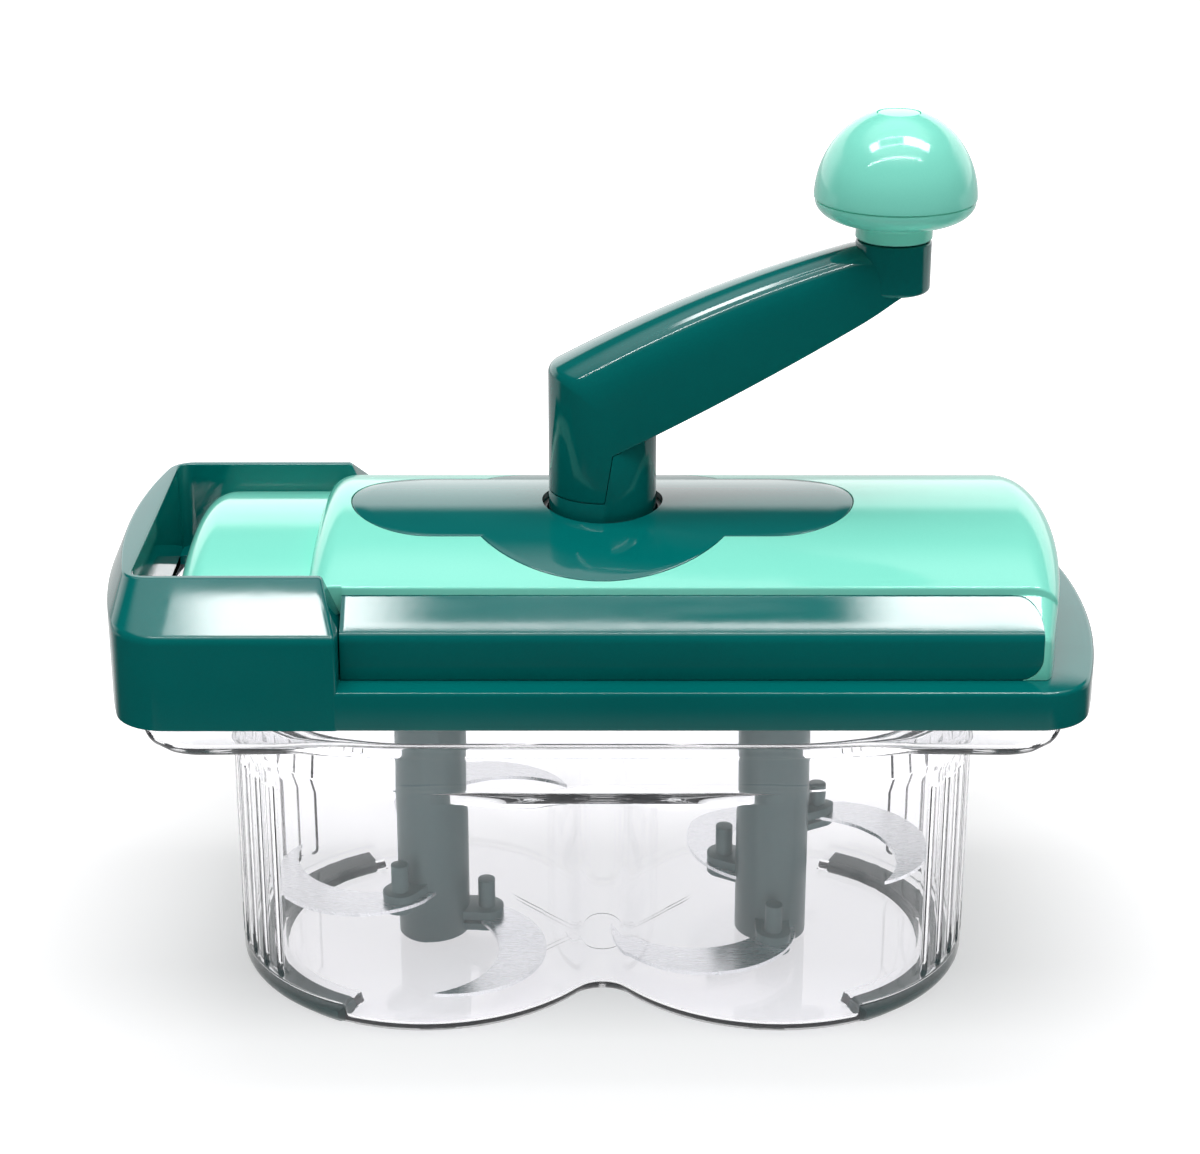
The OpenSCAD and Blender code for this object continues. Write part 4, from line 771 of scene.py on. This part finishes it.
def polish(node, width, angle):
    """A smooth copy of a node of the model, with its edges eased, that stands for the node."""
    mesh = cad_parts[node].data.copy()
    obj = place(node + "_piece", mesh)
    tidy_mesh(mesh, 0.004, angle)
    if width:
        bevel(obj, width, 2, 32)
        bake(obj, angle)
    return obj


# Finishes

WHITE = (1.0, 1.0, 1.0)


class Value:
    """A number or colour in a shader, so that its formulas read as they are written."""

    def __init__(self, paint, socket):
        self.paint, self.socket = paint, socket

    def math(self, kind, other=None, swap=False):
        values = [other, self] if swap else [self, other]
        values = [v for v in values if v is not None]
        return self.paint.node("ShaderNodeMath", values, {"operation": kind})

    def __add__(self, other): return self.math("ADD", other)
    def __radd__(self, other): return self.math("ADD", other, True)
    def __sub__(self, other): return self.math("SUBTRACT", other)
    def __rsub__(self, other): return self.math("SUBTRACT", other, True)
    def __mul__(self, other): return self.math("MULTIPLY", other)
    def __rmul__(self, other): return self.math("MULTIPLY", other, True)
    def __pow__(self, other): return self.math("POWER", other)

    def larger(self, other): return self.math("MAXIMUM", other)
    def size(self): return self.math("ABSOLUTE")

    def ramp(self, low, high):
        """0 below low, 1 above high, smooth between."""
        values = {"Value": self, "From Min": low, "From Max": high}
        return self.paint.node("ShaderNodeMapRange", values, {"interpolation_type": "SMOOTHSTEP"})


class Paint:
    """The shader of a material or of the world."""

    def __init__(self, owner):
        owner.use_nodes = True
        self.owner, self.tree = owner, owner.node_tree
        self.tree.nodes.clear()

    def link(self, value, socket):
        """Sets a socket to a number or colour, or joins it to another socket."""
        if isinstance(value, Value):
            self.tree.links.new(value.socket, socket)
        elif hasattr(socket.default_value, "__len__"):
            socket.default_value = (list(value) + [1.0])[:len(socket.default_value)]
        else:
            socket.default_value = value

    def node(self, kind, values=(), settings=None, output=0):
        """A node with values or links in its sockets. Its settings are made first."""
        n = self.tree.nodes.new(kind)
        for key, setting in (settings or {}).items():
            setattr(n, key, setting)
        pairs = values.items() if isinstance(values, dict) else enumerate(values)
        for key, value in pairs:
            self.link(value, n.inputs[key])
        return Value(self, n.outputs[output])

    def place(self):
        """Object coordinates, in metres."""
        return self.node("ShaderNodeTexCoord", output="Object")

    def axes(self, vector):
        n = self.tree.nodes.new("ShaderNodeSeparateXYZ")
        self.link(vector, n.inputs[0])
        return [Value(self, o) for o in n.outputs]

    def noise(self, scale, detail=2.0, vector=None, rough=0.5):
        return self.node("ShaderNodeTexNoise", {
            "Vector": vector or self.place(), "Scale": scale, "Detail": detail,
            "Roughness": rough})

    def stretched(self, factors):
        """Object coordinates times a factor along each axis."""
        multiply = {"operation": "MULTIPLY"}
        return self.node("ShaderNodeVectorMath", [self.place(), factors], multiply)

    def blend(self, factor, a, b):
        """A colour between a and b."""
        n = self.tree.nodes.new("ShaderNodeMix")
        n.data_type = "RGBA"
        self.link(factor, n.inputs[0])
        self.link(a, n.inputs[6])
        self.link(b, n.inputs[7])
        return Value(self, n.outputs[2])

    def bump(self, height, strength, distance):
        return self.node("ShaderNodeBump", {
            "Height": height, "Strength": strength, "Distance": distance * MM})

    def ray(self, name):
        return self.node("ShaderNodeLightPath", output=name)

    def skin(self, values):
        """The shader of plastic, glass or metal."""
        return self.node("ShaderNodeBsdfPrincipled", values)

    def glow(self, strength):
        """White light of a strength."""
        return self.node("ShaderNodeEmission", {"Color": WHITE, "Strength": strength})

    def mix(self, factor, a, b):
        """A shader between a and b."""
        return self.node("ShaderNodeMixShader", [factor, a, b])

    def finish(self, shader, kind="ShaderNodeOutputMaterial"):
        """Joins the shader to the output, and gives the material or world."""
        out = self.tree.nodes.new(kind)
        self.tree.links.new(shader.socket, out.inputs["Surface"])
        return self.owner


def new_paint(name):
    """The shader of a new material."""
    return Paint(bpy.data.materials.new(name))


def moulded(name, colour, deep, rough):
    """Glossy moulded plastic: faint flow marks in its colour, a fine orange peel in its skin
    and a light bloom of handling in its gloss."""
    p = new_paint(name)
    flow = p.noise(9.0, 3.0, p.stretched((1.0, 2.4, 1.6)), 0.55)
    speck = p.noise(2600.0, 1.0)
    tone = p.blend((flow * 0.75 + speck * 0.25).ramp(0.35, 0.65), colour, deep)
    smear = p.noise(38.0, 4.0, p.stretched((0.6, 1.4, 1.0)), 0.6).ramp(0.42, 0.75)
    peel = p.noise(330.0, 1.5)
    fine = p.noise(2200.0)
    return p.finish(p.skin({
        "Base Color": tone, "Roughness": smear * 0.05 + rough, "IOR": 1.5,
        "Normal": p.bump(peel + fine * 0.18, 0.35, 0.012)}))


def hazy_shaft_plastic():
    """Softer grey-green plastic of the blade shafts, with mould lines that run up them."""
    p = new_paint("blade_shaft_plastic")
    flow = p.noise(16.0, 3.0, p.stretched((1.0, 1.0, 0.25)))
    tone = p.blend(flow.ramp(0.3, 0.7), (0.17, 0.3, 0.3), (0.14, 0.255, 0.255))
    fine = p.noise(900.0, 3.0)
    return p.finish(p.skin({
        "Base Color": tone, "Roughness": fine * 0.1 + 0.3, "Normal": p.bump(fine, 0.3, 0.02)}))


def clear_plastic():
    """Clear rigid plastic with a faint lilac cast and a trace of haze.

    Light on its way to other pieces passes straight through it, as thin walls let it.
    """
    p = new_paint("bowl_clear_plastic")
    ripple = p.noise(42.0) + p.noise(700.0) * 0.03
    # The round mark in the middle of the floor: a ring 10 mm in radius, on the floor alone
    x, y, z = p.axes(p.place())
    ring = 1.0 - (((x * x + y * y) ** 0.5 - 0.01).size()).ramp(0.0002, 0.0007)
    mark = ring * z.ramp(0.0028, 0.003) * (1.0 - z.ramp(0.005, 0.006))
    cast = p.blend(p.noise(14.0), (0.995, 0.99, 1.0), (0.985, 0.98, 0.995))
    glass = p.skin({
        "Base Color": cast, "Roughness": 0.015, "IOR": 1.49, "Transmission Weight": 1.0,
        "Normal": p.bump(ripple * 0.25 + mark * 2.0, 1.0, 0.05)})
    haze = p.node("ShaderNodeBsdfTranslucent", {"Color": (0.93, 0.92, 0.97)})
    white = p.node("ShaderNodeBsdfDiffuse", {"Color": (0.93, 0.92, 0.97)})
    body = p.mix(0.03, glass, p.mix(0.5, haze, white))
    through = p.node("ShaderNodeBsdfTransparent", {"Color": (0.955, 0.95, 0.965)})
    passing = p.ray("Is Shadow Ray").larger(p.ray("Is Diffuse Ray"))
    return p.finish(p.mix(passing, body, through))


def brushed_steel(name, rough, base):
    """Stainless steel with fine grinding lines."""
    p = new_paint(name)
    lines = p.noise(240.0, 4.0, p.stretched((1.0, 9.0, 1.0)), 0.65)
    tone = p.blend(lines, (base, base, base * 1.02), (base * 0.86, base * 0.87, base * 0.9))
    return p.finish(p.skin({
        "Base Color": tone, "Metallic": 1.0, "Roughness": lines * 0.14 + rough,
        "Normal": p.bump(lines, 0.25, 0.01)}))


def matt(name, colour, rough, grain):
    """Plain matt moulding with a fine grain."""
    p = new_paint(name)
    fine = p.noise(grain, 3.0)
    broad = p.noise(24.0)
    tone = p.blend(broad.ramp(0.3, 0.7), colour, [c * 0.86 for c in colour])
    return p.finish(p.skin({
        "Base Color": tone, "Roughness": fine * 0.12 + rough, "Normal": p.bump(fine, 0.4, 0.03)}))


def dress(obj, material):
    """Gives every face of a piece one material."""
    obj.data.materials.clear()
    obj.data.materials.append(material)
    faces = obj.data.polygons
    faces.foreach_set("material_index", np.zeros(len(faces), np.int32))


# The studio, in metres

FLOOR_LIFT, CARD_POWER, AMBIENT, SOFT_POWER, STRIP_POWER = 0.5, 24.0, 0.26, 16.0, 30.0
THROUGH_LIFT, THROUGH_SKY = 1.55, 1.15
FLOOR_HALF = 6.0
CARD_X0, CARD_X1, CARD_Y0, CARD_Y1, CARD_Z = -0.2, 0.36, -0.1, -0.005, 0.6
STRIP_X, STRIP_Y0, STRIP_Y1, STRIP_Z = 0.35, -0.26, -0.245, 0.62


def sheet(name, corners, material):
    """A flat stage piece with one material."""
    mesh = bpy.data.meshes.new(name)
    mesh.from_pydata(corners, [], [tuple(range(len(corners)))])
    obj = place(name, mesh)
    mesh.materials.append(material)
    return obj


def light_card(name, x0, x1, y0, y1, z, material):
    """A sheet that faces down, seen in reflections and through the bowl alone."""
    card = sheet(name, [(x0, y0, z), (x0, y1, z), (x1, y1, z), (x1, y0, z)], material)
    card.visible_camera = card.visible_diffuse = False


def floor_paint():
    """A pale floor that keeps its shadow for the camera and is brighter farther away, and
    that the pieces mirror only where they stand."""
    p = new_paint("studio_floor")
    x, y, z = p.axes(p.place())
    beside = x.size().ramp(0.15, 0.24) * (1.0 - y.ramp(0.05, 0.2))
    fall = (y * -1.0).ramp(0.12, 0.3).larger(beside)
    through = p.ray("Is Transmission Ray")
    seen = p.ray("Is Camera Ray").larger(through * THROUGH_LIFT)
    mirrored = p.ray("Is Glossy Ray") * (1.0 - through)
    matte = p.node("ShaderNodeBsdfDiffuse", {"Color": (0.6, 0.6, 0.607)})
    away = ((x * x + y * y) ** 0.5).ramp(0.1, 0.38)
    lifted = p.node("ShaderNodeAddShader", [matte, p.glow(seen * (FLOOR_LIFT + away * 0.6))])
    return p.finish(p.mix(mirrored, lifted, p.glow((1.0 - fall) * 0.75 + 0.03)))


def card_paint():
    """The overhead light: full at both ends, with soft patches and two stripes between."""
    p = new_paint("overhead_light")
    x, y, z = p.axes(p.place())
    middle = x.ramp(-0.115, -0.068) * (1.0 - x.ramp(0.1, 0.135))
    patches = p.noise(14.0, 3.0, p.stretched((1.0, 1.6, 1.0))).ramp(0.42, 0.6)
    edge = ((y - (CARD_Y0 + CARD_Y1) / 2).size()).ramp(0.033, 0.04)
    dark = middle * (0.94 + patches * 0.055) * (1.0 - edge * 0.6)
    return p.finish(p.glow(CARD_POWER * (1.0 - dark) * x.ramp(-0.2, -0.16)))


def build_studio():
    """A pale floor, a long light overhead that the shell mirrors, a thin one in front of it
    and a soft light for the colours."""
    s = FLOOR_HALF
    sheet("floor", [(-s, -s, 0), (s, -s, 0), (s, s, 0), (-s, s, 0)], floor_paint())
    light_card("overhead", CARD_X0, CARD_X1, CARD_Y0, CARD_Y1, CARD_Z, card_paint())
    soft = bpy.data.lights.new("soft_light", "AREA")
    soft.energy, soft.size, soft.size_y, soft.shape = SOFT_POWER, 1.2, 0.8, "RECTANGLE"
    lamp = place("soft_light", soft)
    lamp.location = (0.05, -0.22, 1.3)
    lamp.rotation_euler = (math.radians(9), 0, 0)
    lamp.visible_glossy = lamp.visible_transmission = lamp.visible_camera = False
    p = new_paint("front_strip_light")
    strip_paint = p.finish(p.glow(STRIP_POWER))
    light_card("front_strip", -STRIP_X, STRIP_X, STRIP_Y0, STRIP_Y1, STRIP_Z, strip_paint)


def build_surround():
    """White for the camera. Reflections see a bright low rear and a bright top, and the
    colours get soft light that grows with height."""
    world = bpy.data.worlds.new("studio_surround")
    bpy.context.scene.world = world
    p = Paint(world)
    x, y, z = p.axes(p.node("ShaderNodeTexCoord", output="Generated"))
    rear = y.ramp(0.2, 0.6)
    low = 1.0 - z.ramp(0.4, 0.5)
    high = z.ramp(0.7, 0.88)
    mirrored = rear * (low * 1.8 + 0.05) + (1.0 - rear) * 0.03 + high * 1.6
    seen = p.ray("Is Camera Ray")
    through = p.ray("Is Transmission Ray")
    glossy = p.ray("Is Glossy Ray") * (1.0 - through)
    soft = 1.0 - seen.larger(glossy).larger(through)
    ambient = soft * AMBIENT * (z.ramp(-0.1, 0.9) * 1.6 + 0.15)
    strength = seen + glossy * mirrored + through * THROUGH_SKY + ambient
    background = p.node("ShaderNodeBackground", {"Color": WHITE, "Strength": strength})
    p.finish(background, "ShaderNodeOutputWorld")


def build_camera():
    """The photo's camera, fitted to the ellipses of the bowl, the post and the knob."""
    camera = bpy.data.cameras.new("camera")
    camera.lens = 79.5
    camera.sensor_width = 36.0
    camera.clip_start, camera.clip_end = 0.01, 50.0
    obj = place("camera", camera)
    obj.location = (-0.00066, -0.6715, 0.376)
    obj.rotation_euler = (math.radians(68.55), 0, 0)
    bpy.context.scene.camera = obj


def stands(obj, body, finish, *nodes):
    """A piece that stands for nodes of the model and moves with a body.

    Its finish is a pair of a slot name, which is not used, and the material that every face is
    given.
    """
    slot, material = finish
    dress(obj, material)
    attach(obj, body)
    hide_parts(*nodes)


def main():
    teal = ("teal_plastic", moulded("teal_shell_plastic", (0.0005, 0.178, 0.166),
                                    (0.0004, 0.155, 0.147), 0.07))
    mint = ("mint_plastic", moulded("mint_cover_plastic", (0.29, 0.93, 0.75),
                                    (0.27, 0.9, 0.725), 0.1))
    shaft = ("shaft_plastic", hazy_shaft_plastic())
    clear = ("clear_plastic", clear_plastic())
    blade = ("blade_steel", brushed_steel("blade_steel", 0.2, 0.93))
    steel = brushed_steel("screw_steel", 0.25, 0.55)
    rubber = ("foot_rubber", matt("foot_rubber", (0.008, 0.06, 0.058), 0.45, 900.0))
    black = ("black_plastic", matt("collar_black", (0.012, 0.012, 0.013), 0.3, 700.0))
    white = matt("gear_plastic", (0.8, 0.8, 0.76), 0.35, 500.0)

    stands(build_bowl(), "bowl_body", clear, "bowl")
    stands(build_frame(), "frame_body", teal, "frame")
    stands(build_bands(), "drive_unit", teal, "housing_base")
    stands(build_cover(), "drive_unit", mint, "top_cover")
    inlay = inlay_solid("gear_inlay_plate", 0.0, HOLE_R, 0.0, INLAY_T - 0.05, 0.3)
    stands(inlay, "drive_unit", teal, "gear_inlay")
    stands(build_arm(), "crank", teal, "crank_arm")
    for obj, node in zip(build_knob(), ("knob_dome", "knob_base", "knob_disc")):
        stands(obj, "knob", mint, node)
    # Smooth copies of the model's pieces, with the width that their edges are eased by
    for node, body, finish, width in (
            ("crank_hub", "crank", teal, 0.25), ("arm_underside", "crank", teal, 0.15),
            ("hub_collar", "drive_unit", black, 0.3),
            ("blade_shaft_left", "left_blades", shaft, 0.35),
            ("blade_shaft_right", "right_blades", shaft, 0.35),
            ("foot_left", "bowl_body", rubber, 0.3), ("foot_right", "bowl_body", rubber, 0.3)):
        stands(polish(node, width, 35.0), body, finish, node)
    for side in ("left", "right"):
        for row in ("low", "mid", "top"):
            node = "blade_%s_%s" % (side, row)
            stands(polish(node, 0.0, 20.0), side + "_blades", blade, node)
    # Pieces out of sight inside keep the model's shapes
    kept = {
        steel: ("pivot_pin_left", "pivot_pin_right", "plate_screws", "housing_screws",
                "crank_screw", "knob_pin", "knob_screw"),
        white: ("gear_plate", "pinion_left", "pinion_right", "crank_shaft", "drive_gear")}
    for material, nodes in kept.items():
        for node in nodes:
            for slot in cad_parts[node].material_slots:
                slot.material = material
    build_studio()
    build_surround()
    build_camera()
    bpy.context.scene.view_settings.view_transform = "Standard"


main()
